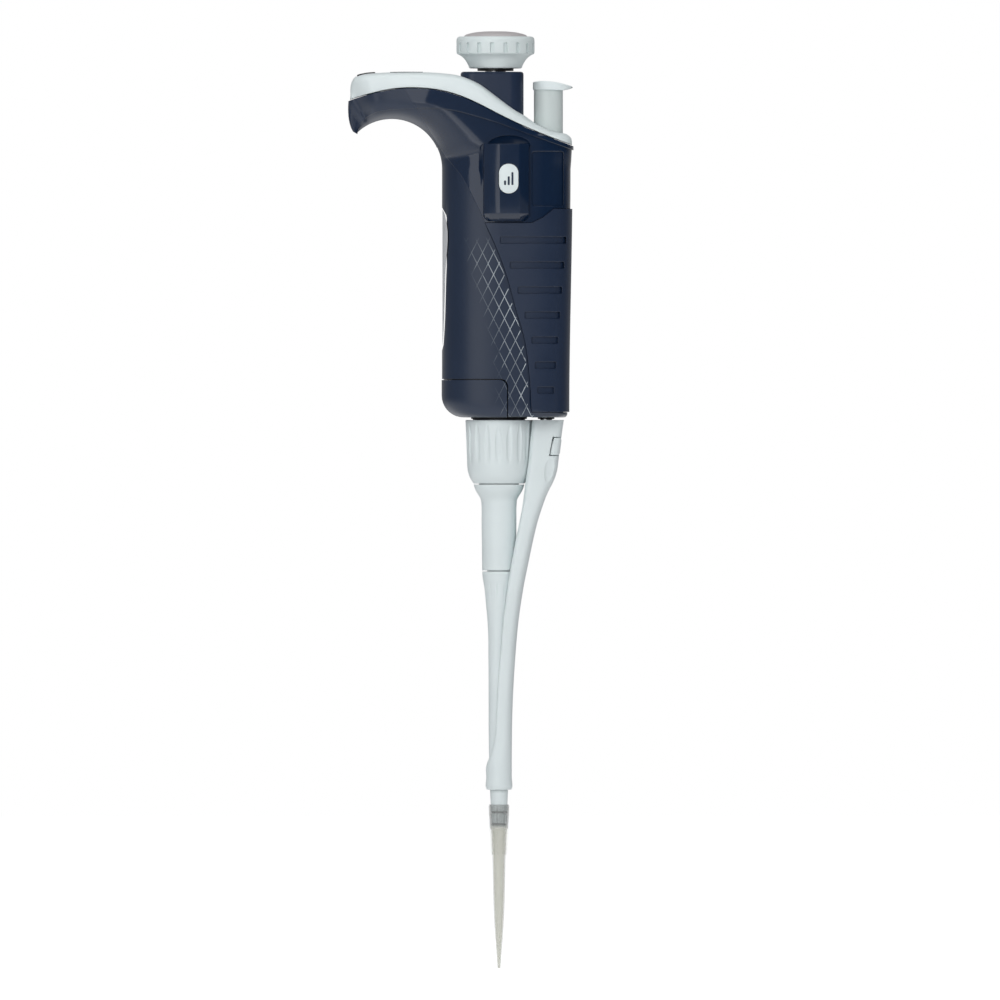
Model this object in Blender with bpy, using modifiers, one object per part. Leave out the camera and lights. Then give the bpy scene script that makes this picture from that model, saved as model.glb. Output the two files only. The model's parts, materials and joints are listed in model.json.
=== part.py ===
"""Electronic pipette: a hand-held liquid dispenser with a finger hook, a control knob, a tip ejector
and a disposable tip.

Run in Blender: blender --background --python part.py

Every length below is in millimetres, in the handle's own frame: x = 0 is the pipetting axis, z = 0 the
bottom of the handle, +X towards the ejector at the back, -X towards the finger hook and -Y the near side.
An empty places that frame so that the world origin is the crown of the finger hook's underside, where
the pipette hangs on a stand.
"""
import bpy
import bmesh
from math import copysign, cos, pi, radians, sin, sqrt
from mathutils import Matrix, Vector

MM = 0.001

# Handle: side outline
FRONT_X = -17.8
BACK_X = 22.2
BACK_X_FOOT = 21.2
FOOT_FRONT_RADIUS = 6.8
FOOT_BACK_RADIUS = 1.2
FOOT_SIDE_RADIUS = 1.6
FINGER_CENTRE_X = -33.3
FINGER_CENTRE_Z = 77.0
FINGER_RADIUS = 15.5
HALF_DEPTH = 14.0
HOOK_HALF_DEPTH = 12.2
HOOK_NOSE_RADIUS = 7.6
THINNEST_SECTION = 0.9
SHARPEST_RADIUS = 0.3
FRONT_POWER = 2.6
BACK_POWER = 4.0
FINGER_POWER = 2.5
HOOK_POWER = 6.0
WALL = 2.0
GAP = 0.3
RUNNING_GAP = 0.5

# Outline of the top of the handle, from the back corner over the crest to the nose of the hook
TOP_LINE = [(22.6, 84.6), (22.6, 86.6), (21.8, 87.5), (17.0, 88.5), (11.7, 90.9), (7.4, 93.9),
            (2.1, 97.6), (-2.2, 100.8), (-5.9, 103.5), (-12.4, 105.9), (-18.3, 106.7), (-26.8, 107.0),
            (-36.4, 106.8), (-42.3, 106.1), (-45.2, 105.2), (-46.1, 103.4), (-46.6, 99.5),
            (-47.0, 95.3), (-46.6, 92.6), (-45.6, 89.9), (-44.9, 88.9)]
# Joint line between the white top cover and the navy shells, from the nose of the hook to the back
PARTING_LINE = [(-46.8, 98.1), (-39.7, 100.3), (-31.0, 102.0), (-24.5, 102.0), (-18.3, 101.3),
                (-11.8, 99.5), (-5.9, 96.8), (0.9, 93.3), (7.9, 90.1), (14.9, 87.2), (22.1, 84.5)]
# Lower edge of the rim that stands proud under the joint line
RIM_LINE = [(-45.0, 90.7), (-42.2, 93.5), (-39.4, 95.0), (-35.0, 95.3), (-29.1, 95.5), (-22.9, 95.7),
            (-15.2, 95.5), (-7.1, 93.2), (0.9, 90.7), (6.2, 88.5), (14.3, 85.9), (21.4, 83.5)]
RIM_PROUD = 0.5

# Rear grip: an overlay on the back of the handle, behind a long diagonal edge
GRIP_EDGE = [(-4.3, 60.2), (-1.2, 53.5), (2.3, 44.2), (5.3, 33.3), (7.75, 25.0), (9.5, 11.9), (10.1, 1.7)]
GRIP_TOP = [(10.2, 60.2), (13.6, 61.9), (17.0, 64.6)]
GRIP_PROUD = 0.6
GRIP_THICKNESS = 1.5
GROOVE_COUNT = 7
GROOVE_TOP_Z = 54.9
GROOVE_PITCH = 7.75
GROOVE_HEIGHT = 2.2
GROOVE_DEPTH = 0.6
GROOVE_BACK_X = 20.8
GROOVE_BACK_STEP = 0.62
GROOVE_MARGIN = 2.2

# Front panel: a pale strip let into the nose of the handle
PANEL_EDGE = [(-16.4, 62.8), (-15.7, 58.4), (-16.3, 45.7), (-16.9, 27.1), (-17.2, 22.5)]
PANEL_SINK = 0.25
PANEL_THICKNESS = 1.0

# Battery cover: the front foot of the handle
BATTERY_COVER_BACK_X = 2.5
BATTERY_COVER_TOP_Z = 11.6
BATTERY_COVER_CORNER = 2.4

# Wireless module on the near side
MODULE_LEFT_X = -4.9
MODULE_RIGHT_X = 9.3
MODULE_BOTTOM_Z = 60.7
MODULE_TOP_Z = 84.7
MODULE_PROUD = 3.5
MODULE_FLAT_LEFT_X = 0.0
MODULE_FLAT_RIGHT_X = 6.4
NAIL_SCOOP_HALF_WIDTH = 6.6
NAIL_SCOOP_DEPTH = 1.1
NAIL_SCOOP_HEIGHT = 3.0
SIDE_SCOOP_WIDTH = 2.0
SIDE_SCOOP_DEPTH = 0.9
SIDE_SCOOP_HALF_HEIGHT = 5.8
POCKET_MARGIN = 0.9
POCKET_BACK_X = 20.9
POCKET_BOTTOM_Z = 65.4
POCKET_TOP_Z = 82.4
POCKET_CORNER = 0.8
POCKET_DEPTH = 0.5
BADGE_X = 3.0
BADGE_Z = 73.9
BADGE_WIDTH = 6.0
BADGE_HEIGHT = 9.2
BADGE_THICKNESS = 0.7

# Turret and control knob
KNOB_X = -1.1
TURRET_X = -2.15
TURRET_HALF_LENGTH = 9.75
TURRET_SIDE_MARGIN = 4.5
TURRET_HALF_DEPTH = HALF_DEPTH - TURRET_SIDE_MARGIN
TURRET_TOP_Z = 107.1
TURRET_CORNER = 4.2
STEM_RADIUS = 3.2
STEM_FLANGE_RADIUS = 5.0
KNOB_RADIUS = 12.1
KNOB_RING_BOTTOM_Z = 112.4
KNOB_RING_TOP_Z = 118.1
KNOB_SKIRT_RADIUS = 8.1
KNOB_SKIRT_Z = 108.2
KNOB_SLOT_COUNT = 18
KNOB_SLOT_WIDTH = 1.2
KNOB_SLOT_DEPTH = 0.7
KNOB_CAP_RADIUS = 10.2
KNOB_CAP_TOP_Z = 119.7

# Keys and display on the top of the hook
KEY_FRONT_X = -44.0
KEY_BACK_X = -38.4
KEY_HALF_WIDTH = 7.4
KEY_PROUD = 0.6
LENS_FRONT_X = -33.8
LENS_BACK_X = -23.6
LENS_HALF_WIDTH = 9.0
LENS_PROUD = 0.3
LENS_THICKNESS = 1.2

# Collar, nut and barrel on the pipetting axis
COLLAR_RADIUS = 8.7
SPIGOT_RADIUS = 8.1
SPIGOT_BOTTOM_Z = -13.4
COLLAR_BORE = 3.7
NUT_TOP_Z = -0.8
NUT_BOTTOM_Z = -20.5
NUT_RADIUS = 10.4
NUT_FOOT_RADIUS = 7.85
NUT_FLUTE_COUNT = 18
BARREL_BORE = 3.9
BARREL_NECK_RADIUS = 6.2
BARREL_RADIUS = 5.45
BARREL_FOOT_RADIUS = 5.25
BARREL_JOINT_Z = -47.6
CONE_BOTTOM_Z = -126.8
CONE_RADIUS = 2.1
PISTON_RADIUS = 1.9

# Ejector
ROD_X = 14.6
ROD_RADIUS = 1.9
BUTTON_X = 15.3
BUTTON_RADIUS = 4.5
BUTTON_TOP_Z = 104.2
BUTTON_BOTTOM_Z = 86.4
ARM_TOP_Z = -0.8
ARM_BOTTOM_Z = -115.4
SLEEVE_RADIUS = 3.95
SLEEVE_GAP = 0.32

# Tip
TIP_TOP_Z = -120.0
TIP_BOTTOM_Z = -170.8
TIP_WALL = 0.4

# Inside the handle
CHASSIS_BASE_Z = 12.3
CHASSIS_MID_Z = 40.0
CHASSIS_TOP_Z = 80.0
CHASSIS_PLATE = 2.0
MOTOR_RADIUS = 8.0
MOTOR_LENGTH = 26.0
SCREW_RADIUS = 1.5
BOARD_MARGIN = 3.1
BOARD_THICKNESS = 1.2
BOARD_FRONT_X = -5.0
BOARD_BACK_X = 11.0
BOARD_TOP_Z = 58.0
SPINE_MARGIN = 3.1
SPINE_THICKNESS = 1.5
SPINE_FRONT_X = -6.0
BATTERY_FRONT_X = -13.2
BATTERY_THICKNESS = 4.6
BATTERY_HALF_WIDTH = 7.4
BATTERY_TOP_Z = 55.0

SECTION_COUNT = 20
INNER_COUNT = 14
ROUND_COUNT = 24
SMALL_ROUND_COUNT = 16
KNOB_ROUND_COUNT = 24
COIL_COUNT = 6
ARM_COUNT = 16
FLAT_ANGLE = 0.5
SHARP_ANGLE = 32.0

HANDLE_ORIGIN = (-FINGER_CENTRE_X, 0.0, -(FINGER_CENTRE_Z + FINGER_RADIUS))


# Scene set-up

for old in list(bpy.data.objects):
    bpy.data.objects.remove(old, do_unlink=True)


def new_collection(name):
    """A collection linked to the scene."""
    made = bpy.data.collections.new(name)
    bpy.context.scene.collection.children.link(made)
    return made


PARTS = new_collection("electronic_pipette")
CUTTERS = new_collection("cutters")

handle_frame = bpy.data.objects.new("handle_frame", None)
handle_frame.location = [value * MM for value in HANDLE_ORIGIN]
PARTS.objects.link(handle_frame)


def plastic(name, colour, roughness, metallic=0.0, alpha=1.0):
    """A Principled material."""
    made = bpy.data.materials.new(name)
    made.use_nodes = True
    shader = made.node_tree.nodes["Principled BSDF"]
    shader.inputs["Base Color"].default_value = (*colour, 1.0)
    shader.inputs["Roughness"].default_value = roughness
    shader.inputs["Metallic"].default_value = metallic
    shader.inputs["Alpha"].default_value = alpha
    return made


NAVY = plastic("navy_gloss_plastic", (0.012, 0.028, 0.075), 0.18)
NAVY_GRIP = plastic("navy_grip_plastic", (0.012, 0.026, 0.065), 0.38)
WHITE = plastic("white_plastic", (0.78, 0.83, 0.84), 0.35)
PALE_GREY = plastic("pale_grey_plastic", (0.48, 0.50, 0.54), 0.4)
KNOB_GREY = plastic("knob_grey_plastic", (0.62, 0.66, 0.66), 0.4)
KNOB_PINK = plastic("knob_cap_plastic", (0.56, 0.49, 0.50), 0.45)
BLACK = plastic("black_plastic", (0.02, 0.02, 0.022), 0.4)
DARK_RUBBER = plastic("dark_rubber", (0.03, 0.03, 0.032), 0.8)
LENS = plastic("display_lens_plastic", (0.35, 0.40, 0.42), 0.1)
BOARD_GREEN = plastic("circuit_board", (0.03, 0.16, 0.07), 0.5)
CELL = plastic("battery_wrap", (0.20, 0.22, 0.26), 0.45)
STEEL = plastic("steel", (0.55, 0.56, 0.58), 0.3, metallic=1.0)
TIP_CLEAR = plastic("clear_tip_plastic", (0.72, 0.74, 0.66), 0.2, alpha=0.45)


# Building helpers

def add_object(name, mesh, material=None, place=(0.0, 0.0, 0.0)):
    """Link a mesh as a part, or as a hidden cutter where it has no material."""
    made = bpy.data.objects.new(name, mesh)
    made.parent = handle_frame
    made.location = [value * MM for value in place]
    if material is None:
        CUTTERS.objects.link(made)
        made.hide_render = True
        made.display_type = "WIRE"
        return made
    mesh.materials.append(material)
    PARTS.objects.link(made)
    return made


def finish_mesh(name, build):
    """Turn a bmesh into a mesh with its faces pointing out."""
    bmesh.ops.recalc_face_normals(build, faces=build.faces)
    mesh = bpy.data.meshes.new(name)
    build.to_mesh(mesh)
    build.free()
    return mesh


def box(name, low, high, material=None, bevel=0.0):
    """A box between two corners, with its edges rounded by a bevel."""
    build = bmesh.new()
    bmesh.ops.create_cube(build, size=1.0)
    size = [(b - a) * MM for a, b in zip(low, high)]
    middle = [(a + b) / 2 * MM for a, b in zip(low, high)]
    bmesh.ops.transform(build, matrix=Matrix.Translation(middle) @ Matrix.Diagonal((*size, 1.0)),
                        verts=build.verts)
    made = add_object(name, finish_mesh(name, build), material)
    if bevel:
        round_edges(made, bevel)
    return made


def round_edges(target, width, segments=2):
    """Round every edge sharper than 40 degrees."""
    rounding = target.modifiers.new("round_edges", "BEVEL")
    rounding.width = width * MM
    rounding.segments = segments
    rounding.limit_method = "ANGLE"
    rounding.angle_limit = radians(40)
    rounding.use_clamp_overlap = True


def turned(name, profile, material=None, axis_x=0.0, steps=ROUND_COUNT):
    """A solid of revolution about a vertical axis: its profile runs down the outside, (radius, z)."""
    mesh = bpy.data.meshes.new(name)
    points = [(radius * MM, 0.0, height * MM) for radius, height in profile]
    closed = profile[0][0] > 0.0
    edges = [(k, k + 1) for k in range(len(points) - 1)]
    if closed:
        edges.append((len(points) - 1, 0))
    mesh.from_pydata(points, edges, [])
    made = add_object(name, mesh, material, (axis_x, 0.0, 0.0))
    screw = made.modifiers.new("turn", "SCREW")
    screw.axis = "Z"
    screw.steps = steps
    screw.render_steps = steps
    screw.use_merge_vertices = True
    screw.merge_threshold = 0.00001
    screw.use_smooth_shade = False
    return made


def flat_solid(name, outline, low, high, material=None, plane="side"):
    """A flat outline drawn as a filled 2D curve, with a thickness from low to high.

    plane "side" draws (x, z) and thickens along Y; plane "top" draws (x, y) and thickens along Z.
    """
    curve = bpy.data.curves.new(name, "CURVE")
    curve.dimensions = "2D"
    curve.fill_mode = "BOTH"
    curve.extrude = (high - low) / 2 * MM
    spline = curve.splines.new("POLY")
    spline.points.add(len(outline) - 1)
    for point, (across, along) in zip(spline.points, outline):
        point.co = (across * MM, along * MM, 0.0, 1.0)
    spline.use_cyclic_u = True
    holder = bpy.data.objects.new(name + "_curve", curve)
    CUTTERS.objects.link(holder)
    graph = bpy.context.evaluated_depsgraph_get()
    mesh = bpy.data.meshes.new_from_object(holder.evaluated_get(graph))
    bpy.data.objects.remove(holder, do_unlink=True)
    build = bmesh.new()
    build.from_mesh(mesh)
    bmesh.ops.remove_doubles(build, verts=build.verts, dist=0.000001)
    bmesh.ops.translate(build, vec=(0.0, 0.0, (low + high) / 2 * MM), verts=build.verts)
    if plane == "side":
        swap = Matrix(((1, 0, 0, 0), (0, 0, 1, 0), (0, 1, 0, 0), (0, 0, 0, 1)))
        bmesh.ops.transform(build, matrix=swap, verts=build.verts)
    bpy.data.meshes.remove(mesh)
    return add_object(name, finish_mesh(name, build), material)


def rounded_rectangle(low_a, low_b, high_a, high_b, radius, steps=4):
    """A closed rectangle outline with its corners rounded by arcs."""
    corners = [(high_a - radius, high_b - radius), (low_a + radius, high_b - radius),
               (low_a + radius, low_b + radius), (high_a - radius, low_b + radius)]
    points = []
    for quarter, (centre_a, centre_b) in enumerate(corners):
        for step in range(steps + 1):
            turn = pi / 2 * (quarter + step / steps)
            points.append((centre_a + radius * cos(turn), centre_b + radius * sin(turn)))
    return points


def boolean(target, tool, operation):
    """Cut, keep or join with another object by a live Boolean."""
    made = target.modifiers.new(tool.name, "BOOLEAN")
    made.operation = operation
    made.object = tool
    made.solver = "EXACT"
    return target


def cut(target, *tools):
    """Take the tools away from the target."""
    for tool in tools:
        boolean(target, tool, "DIFFERENCE")
    return target


def keep(target, tool):
    """Keep only what lies inside the tool."""
    return boolean(target, tool, "INTERSECT")


def join(target, tool):
    """Fuse the tool to the target."""
    return boolean(target, tool, "UNION")


def rod(name, radius, low, high, material=None, axis_x=0.0, steps=ROUND_COUNT):
    """A plain vertical cylinder."""
    return turned(name, [(0.0, high), (radius, high), (radius, low), (0.0, low)], material, axis_x, steps)


def tube(name, inner, outer, low, high, material=None, axis_x=0.0, steps=ROUND_COUNT):
    """A plain vertical tube or ring."""
    profile = [(outer, high), (outer, low), (inner, low), (inner, high)]
    return turned(name, profile, material, axis_x, steps)


# Master form of the handle

def superellipse_ring(inner, outer, half_depth, inner_power, outer_power, count=SECTION_COUNT):
    """Points round one section, which lies in the plane of the Y axis and the line inner to outer.

    The power sets the section's fullness: 2 is an ellipse and a large one is a rounded rectangle. It
    differs on the two sides, because the front of the handle is round and its back is square.
    """
    middle = (inner + outer) / 2
    reach = (outer - inner) / 2
    ring = []
    for k in range(count):
        angle = 2 * pi * (k + 0.5) / count
        along, across = cos(angle), sin(angle)
        power = outer_power if along > 0 else inner_power
        along = copysign(abs(along) ** (2 / power), along)
        across = copysign(abs(across) ** (2 / power), across)
        spot = middle + reach * along
        ring.append((spot.x * MM, half_depth * across * MM, spot.y * MM))
    return ring


def loft(name, rings, material=None):
    """A closed skin through a row of rings with equal numbers of points."""
    build = bmesh.new()
    rows = [[build.verts.new(point) for point in ring] for ring in rings]
    for low, high in zip(rows, rows[1:]):
        for k in range(len(low)):
            after = (k + 1) % len(low)
            build.faces.new((low[k], low[after], high[after], high[k]))
    build.faces.new(rows[0])
    build.faces.new(rows[-1])
    bmesh.ops.triangulate(build, faces=build.faces)
    return add_object(name, finish_mesh(name, build), material)


def offset_line(line, distance):
    """Pairs of a polyline's points and the same points moved sideways, to the right of its run.

    Points that an inward offset would fold back at a tight corner are left out.
    """
    pairs = []
    for k, (x, z) in enumerate(line):
        before = Vector(line[max(k - 1, 0)])
        here = Vector((x, z))
        run = (Vector(line[min(k + 1, len(line) - 1)]) - before).normalized()
        moved = Vector((x + run.y * distance, z - run.x * distance))
        if pairs and (moved - pairs[-1][1]).dot(here - before) <= 0.0:
            continue
        pairs.append((here, moved))
    return pairs


def depth_at(x, grow):
    """Half depth of the handle at a place along the top line: the hook's nose is round in plan."""
    narrowing = (FINGER_CENTRE_X + FINGER_RADIUS - x) / 20.0
    share = min(max(narrowing, 0.0), 1.0)
    depth = HALF_DEPTH + (HOOK_HALF_DEPTH - HALF_DEPTH) * share
    nose_start = TOP_LINE[-4][0] + HOOK_NOSE_RADIUS
    if x < nose_start:
        depth -= HOOK_NOSE_RADIUS - sqrt(max(HOOK_NOSE_RADIUS ** 2 - (nose_start - x) ** 2, 0.0))
    return depth + grow


def handle_sections(grow):
    """Inner point, outer point, half depth and powers of each section of the handle."""
    sections = []
    front_radius, back_radius, side_radius = (
        max(radius + grow, SHARPEST_RADIUS)
        for radius in (FOOT_FRONT_RADIUS, FOOT_BACK_RADIUS, FOOT_SIDE_RADIUS))
    for degree in (0, 30, 60, 90):
        across = 1 - sin(radians(degree))
        rise = 1 - cos(radians(degree))
        front = Vector((FRONT_X - grow + front_radius * across, front_radius * rise - grow))
        back = Vector((BACK_X_FOOT + grow - back_radius * across, back_radius * rise - grow))
        sections.append((front, back, HALF_DEPTH + grow - side_radius * across, FRONT_POWER, BACK_POWER))
    for share in (0.3, 0.65, 1.0):
        front_z = FOOT_FRONT_RADIUS + (FINGER_CENTRE_Z - FOOT_FRONT_RADIUS) * share
        back_z = FOOT_BACK_RADIUS + (FINGER_CENTRE_Z - FOOT_BACK_RADIUS) * share
        back_x = BACK_X_FOOT + (BACK_X - BACK_X_FOOT) * min(1.0, share * 1.4)
        front = Vector((FRONT_X - grow, front_z))
        sections.append((front, Vector((back_x + grow, back_z)), HALF_DEPTH + grow, FRONT_POWER, BACK_POWER))
    centre = Vector((FINGER_CENTRE_X, FINGER_CENTRE_Z))
    for spot, outer in offset_line(TOP_LINE, grow):
        away = (spot - centre).normalized()
        inner = centre + away * (FINGER_RADIUS - grow)
        if (outer - centre).length - (inner - centre).length > THINNEST_SECTION:
            share = min(1.0, max(0.0, (BACK_X - spot.x) / 30.0))
            fullness = BACK_POWER + (HOOK_POWER - BACK_POWER) * share
            depth = min(depth_at(spot.x, grow), sections[-1][2])
            sections.append((inner, outer, depth, FINGER_POWER, fullness))
    return sections


def handle_form(name, grow=0.0, count=SECTION_COUNT):
    """The whole handle as one closed skin, grown or shrunk all round."""
    rings = [superellipse_ring(*section, count) for section in handle_sections(grow)]
    return loft(name, rings)


OUTSIDE = 60.0

skin_form = handle_form("skin_form")
cavity_form = handle_form("cavity_form", -WALL, INNER_COUNT)
fitting_form = handle_form("fitting_form", -(WALL + GAP), INNER_COUNT)


def line_region(name, line, shift, top):
    """A side-view prism that holds all that lies above or below a line."""
    edge = [(x, z + shift) for x, z in line]
    first, last = edge[0], edge[-1]
    far_z = OUTSIDE * 3 if top else -OUTSIDE
    outline = [(-OUTSIDE * 1.5, far_z), (-OUTSIDE * 1.5, first[1])]
    outline += edge
    outline += [(OUTSIDE, last[1]), (OUTSIDE, far_z)]
    return flat_solid(name, outline, -OUTSIDE, OUTSIDE)


above_joint = line_region("above_joint", PARTING_LINE, -GAP / 2, True)
below_joint = line_region("below_joint", PARTING_LINE, GAP / 2, False)
above_rim = line_region("above_rim", RIM_LINE, 0.0, True)


# Regions of the handle, drawn in side view

def grip_outline(grow):
    """Side outline of the rear grip, grown all round, open past the back of the handle."""
    edge = [(x - grow, z) for x, z in GRIP_EDGE]
    edge[0] = (edge[0][0], edge[0][1] + grow)
    edge[-1] = (edge[-1][0], edge[-1][1] - grow)
    top = [(x, z + grow) for x, z in reversed(GRIP_TOP)]
    return edge + [(OUTSIDE, GRIP_EDGE[-1][1] - grow), (OUTSIDE, GRIP_TOP[-1][1] + grow)] + top


def panel_outline(grow):
    """Side outline of the front panel, grown all round, open past the nose of the handle."""
    edge = [(x + grow, z) for x, z in PANEL_EDGE]
    top_z = PANEL_EDGE[0][1] + 2.5 + grow
    bottom_z = PANEL_EDGE[-1][1] - 2.2 - grow
    return ([(-OUTSIDE, top_z + 8.0), (FRONT_X, top_z)] + edge
            + [(FRONT_X, bottom_z), (-OUTSIDE, bottom_z - 8.0)])


def battery_outline(grow):
    """Side outline of the battery cover, grown at its top and back."""
    return rounded_rectangle(-OUTSIDE, -OUTSIDE, BATTERY_COVER_BACK_X + grow, BATTERY_COVER_TOP_Z + grow,
                             BATTERY_COVER_CORNER)


grip_region = flat_solid("grip_region", grip_outline(0.0), -OUTSIDE, OUTSIDE)
panel_region = flat_solid("panel_region", panel_outline(-GAP), -OUTSIDE, OUTSIDE)
battery_region = flat_solid("battery_region", battery_outline(0.0), -OUTSIDE, OUTSIDE)

grip_recess = flat_solid("grip_recess", grip_outline(GAP), -OUTSIDE, OUTSIDE)
cut(grip_recess, handle_form("grip_floor", -(GRIP_THICKNESS - GRIP_PROUD + GAP), INNER_COUNT))
panel_recess = flat_solid("panel_recess", panel_outline(0.0), -OUTSIDE, OUTSIDE)
cut(panel_recess, handle_form("panel_floor", -(PANEL_SINK + PANEL_THICKNESS + GAP), INNER_COUNT))
battery_space = flat_solid("battery_space", battery_outline(GAP), -OUTSIDE, OUTSIDE)

rim_form = cut(keep(handle_form("rim_form", RIM_PROUD), above_rim), above_joint)
near_half = box("near_half", (-OUTSIDE * 2, -OUTSIDE, -OUTSIDE), (OUTSIDE, GAP / 2, OUTSIDE * 3))
far_half = box("far_half", (-OUTSIDE * 2, -GAP / 2, -OUTSIDE), (OUTSIDE, OUTSIDE, OUTSIDE * 3))

collar_hole = rod("collar_hole", COLLAR_RADIUS + GAP, -OUTSIDE, WALL + 3.0)
BUSH_RADIUS = 2.6
bush_hole = rod("bush_hole", BUSH_RADIUS + GAP, -OUTSIDE, WALL + 1.0, axis_x=ROD_X)


# Wireless module window in the near shell

def module_window(name, grow):
    """The opening that the module's boss passes through."""
    inset = 1.5 - grow
    outline = rounded_rectangle(MODULE_LEFT_X + inset, MODULE_BOTTOM_Z + inset, MODULE_RIGHT_X - inset,
                                MODULE_TOP_Z - inset, 1.0 + grow)
    return flat_solid(name, outline, -OUTSIDE, -HALF_DEPTH / 2)


def scoop(name, centre, reach):
    """A shallow hollow: a stretched ball that bites into a side of a part."""
    build = bmesh.new()
    bmesh.ops.create_uvsphere(build, u_segments=10, v_segments=5, radius=1.0)
    place = Matrix.Translation([value * MM for value in centre])
    bmesh.ops.transform(build, matrix=place @ Matrix.Diagonal((*[value * MM for value in reach], 1.0)),
                        verts=build.verts)
    return add_object(name, finish_mesh(name, build))


MODULE_MIDDLE_X = (MODULE_LEFT_X + MODULE_RIGHT_X) / 2 + 1.0
nail_scoop = scoop("nail_scoop", (MODULE_MIDDLE_X, -HALF_DEPTH, MODULE_TOP_Z - 0.4),
                   (NAIL_SCOOP_HALF_WIDTH, NAIL_SCOOP_DEPTH, NAIL_SCOOP_HEIGHT))
side_scoop = scoop("side_scoop", (MODULE_LEFT_X, -HALF_DEPTH, MODULE_TOP_Z - SIDE_SCOOP_HALF_HEIGHT),
                   (SIDE_SCOOP_WIDTH, SIDE_SCOOP_DEPTH, SIDE_SCOOP_HALF_HEIGHT))
pocket_outline = rounded_rectangle(MODULE_RIGHT_X + POCKET_MARGIN, POCKET_BOTTOM_Z, POCKET_BACK_X,
                                   POCKET_TOP_Z, POCKET_CORNER, 2)
pocket = flat_solid("pocket", pocket_outline, -OUTSIDE, -HALF_DEPTH / 4)
cut(pocket, handle_form("pocket_floor", -POCKET_DEPTH))


def handle_shell(name, other_half, *openings):
    """One navy half of the handle, hollow, with the proud rim under the top cover."""
    made = add_object(name, skin_form.data.copy(), NAVY)
    join(made, rim_form)
    cut(made, above_joint, cavity_form, grip_recess, panel_recess, battery_space)
    cut(made, collar_hole, bush_hole, other_half, *openings)
    return made


handle_shell_near = handle_shell("handle_shell_near", far_half, module_window("module_opening", GAP),
                                 nail_scoop, side_scoop, pocket)
handle_shell_far = handle_shell("handle_shell_far", near_half)


# Rear grip with its grooves

def grip_grooves():
    """Seven grooves across both sides of the grip, shorter towards the bottom, as one cutter."""
    build = bmesh.new()
    for k in range(GROOVE_COUNT):
        z = GROOVE_TOP_Z - k * GROOVE_PITCH
        front = groove_front(z)
        back = GROOVE_BACK_X - k * GROOVE_BACK_STEP
        made = bmesh.ops.create_cube(build, size=1.0)
        size = ((back - front) * MM, 4 * HALF_DEPTH * MM, GROOVE_HEIGHT * MM)
        place = Matrix.Translation(((front + back) / 2 * MM, 0.0, z * MM))
        bmesh.ops.transform(build, matrix=place @ Matrix.Diagonal((*size, 1.0)), verts=made["verts"])
    grooves = add_object("grip_grooves", finish_mesh("grip_grooves", build))
    return cut(grooves, handle_form("groove_floor", GRIP_PROUD - GROOVE_DEPTH))


def groove_front(z):
    """Where a groove starts behind the grip's diagonal edge."""
    for (upper_x, upper_z), (lower_x, lower_z) in zip(GRIP_EDGE, GRIP_EDGE[1:]):
        if lower_z <= z <= upper_z:
            share = (upper_z - z) / (upper_z - lower_z)
            return upper_x + (lower_x - upper_x) * share + GROOVE_MARGIN
    return GRIP_EDGE[-1][0] + GROOVE_MARGIN


rear_grip = add_object("rear_grip", handle_form("grip_skin", GRIP_PROUD).data.copy(), NAVY_GRIP)
keep(rear_grip, grip_region)
cut(rear_grip, handle_form("grip_inside", GRIP_PROUD - GRIP_THICKNESS, INNER_COUNT), grip_grooves())


# Front panel and battery cover

front_panel = add_object("front_panel", handle_form("panel_skin", -PANEL_SINK).data.copy(), PALE_GREY)
keep(front_panel, panel_region)
cut(front_panel, handle_form("panel_inside", -(PANEL_SINK + PANEL_THICKNESS), INNER_COUNT))

battery_cover = add_object("battery_cover", skin_form.data.copy(), NAVY)
keep(battery_cover, battery_region)
collar_notch = box("collar_notch", (0.0, -(COLLAR_RADIUS + GAP), -OUTSIDE),
                   (OUTSIDE, COLLAR_RADIUS + GAP, WALL + 3.0))
cut(battery_cover, cavity_form, collar_hole, collar_notch)


# Top cover with its openings for turret, ejector button, display and keys

def turret_outline(grow):
    """Plan outline of the turret."""
    return rounded_rectangle(TURRET_X - TURRET_HALF_LENGTH - grow, -TURRET_HALF_DEPTH - grow,
                             TURRET_X + TURRET_HALF_LENGTH + grow, TURRET_HALF_DEPTH + grow,
                             TURRET_CORNER + grow)


def lens_outline(grow):
    """Plan outline of the display lens."""
    return rounded_rectangle(LENS_FRONT_X - grow, -LENS_HALF_WIDTH - grow, LENS_BACK_X + grow,
                             LENS_HALF_WIDTH + grow, 1.6 + grow)


def key_outline(side, grow):
    """Plan outline of one key; side is -1 for the near key and 1 for the far one."""
    near, far = sorted((side * GAP, side * KEY_HALF_WIDTH))
    return rounded_rectangle(KEY_FRONT_X - grow, near - grow, KEY_BACK_X + grow, far + grow, 1.0 + grow)


HOOK_TOP_Z = 107.0
DISPLAY_INSET = 1.3
KEY_BOTTOM_Z = 101.5

turret_opening = flat_solid("turret_opening", turret_outline(GAP), 0.0, OUTSIDE * 2, plane="top")
stem_opening = rod("stem_opening", BUTTON_RADIUS + GAP, BUTTON_BOTTOM_Z - 12.0, OUTSIDE * 2, axis_x=BUTTON_X)
lens_recess = flat_solid("lens_recess", lens_outline(GAP), HOOK_TOP_Z - 6.0, OUTSIDE * 2, plane="top")
cut(lens_recess, handle_form("lens_floor", LENS_PROUD - LENS_THICKNESS - GAP))
display_window = flat_solid("display_window", lens_outline(-DISPLAY_INSET), HOOK_TOP_Z - 6.0, OUTSIDE * 2,
                            plane="top")
key_opening = box("key_opening", (KEY_FRONT_X - GAP, -KEY_HALF_WIDTH - GAP, HOOK_TOP_Z - 6.0),
                  (KEY_BACK_X + GAP, KEY_HALF_WIDTH + GAP, OUTSIDE * 2))

top_cover = add_object("top_cover", skin_form.data.copy(), WHITE)
cut(top_cover, below_joint, cavity_form, turret_opening, stem_opening, lens_recess, display_window,
    key_opening)

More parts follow.
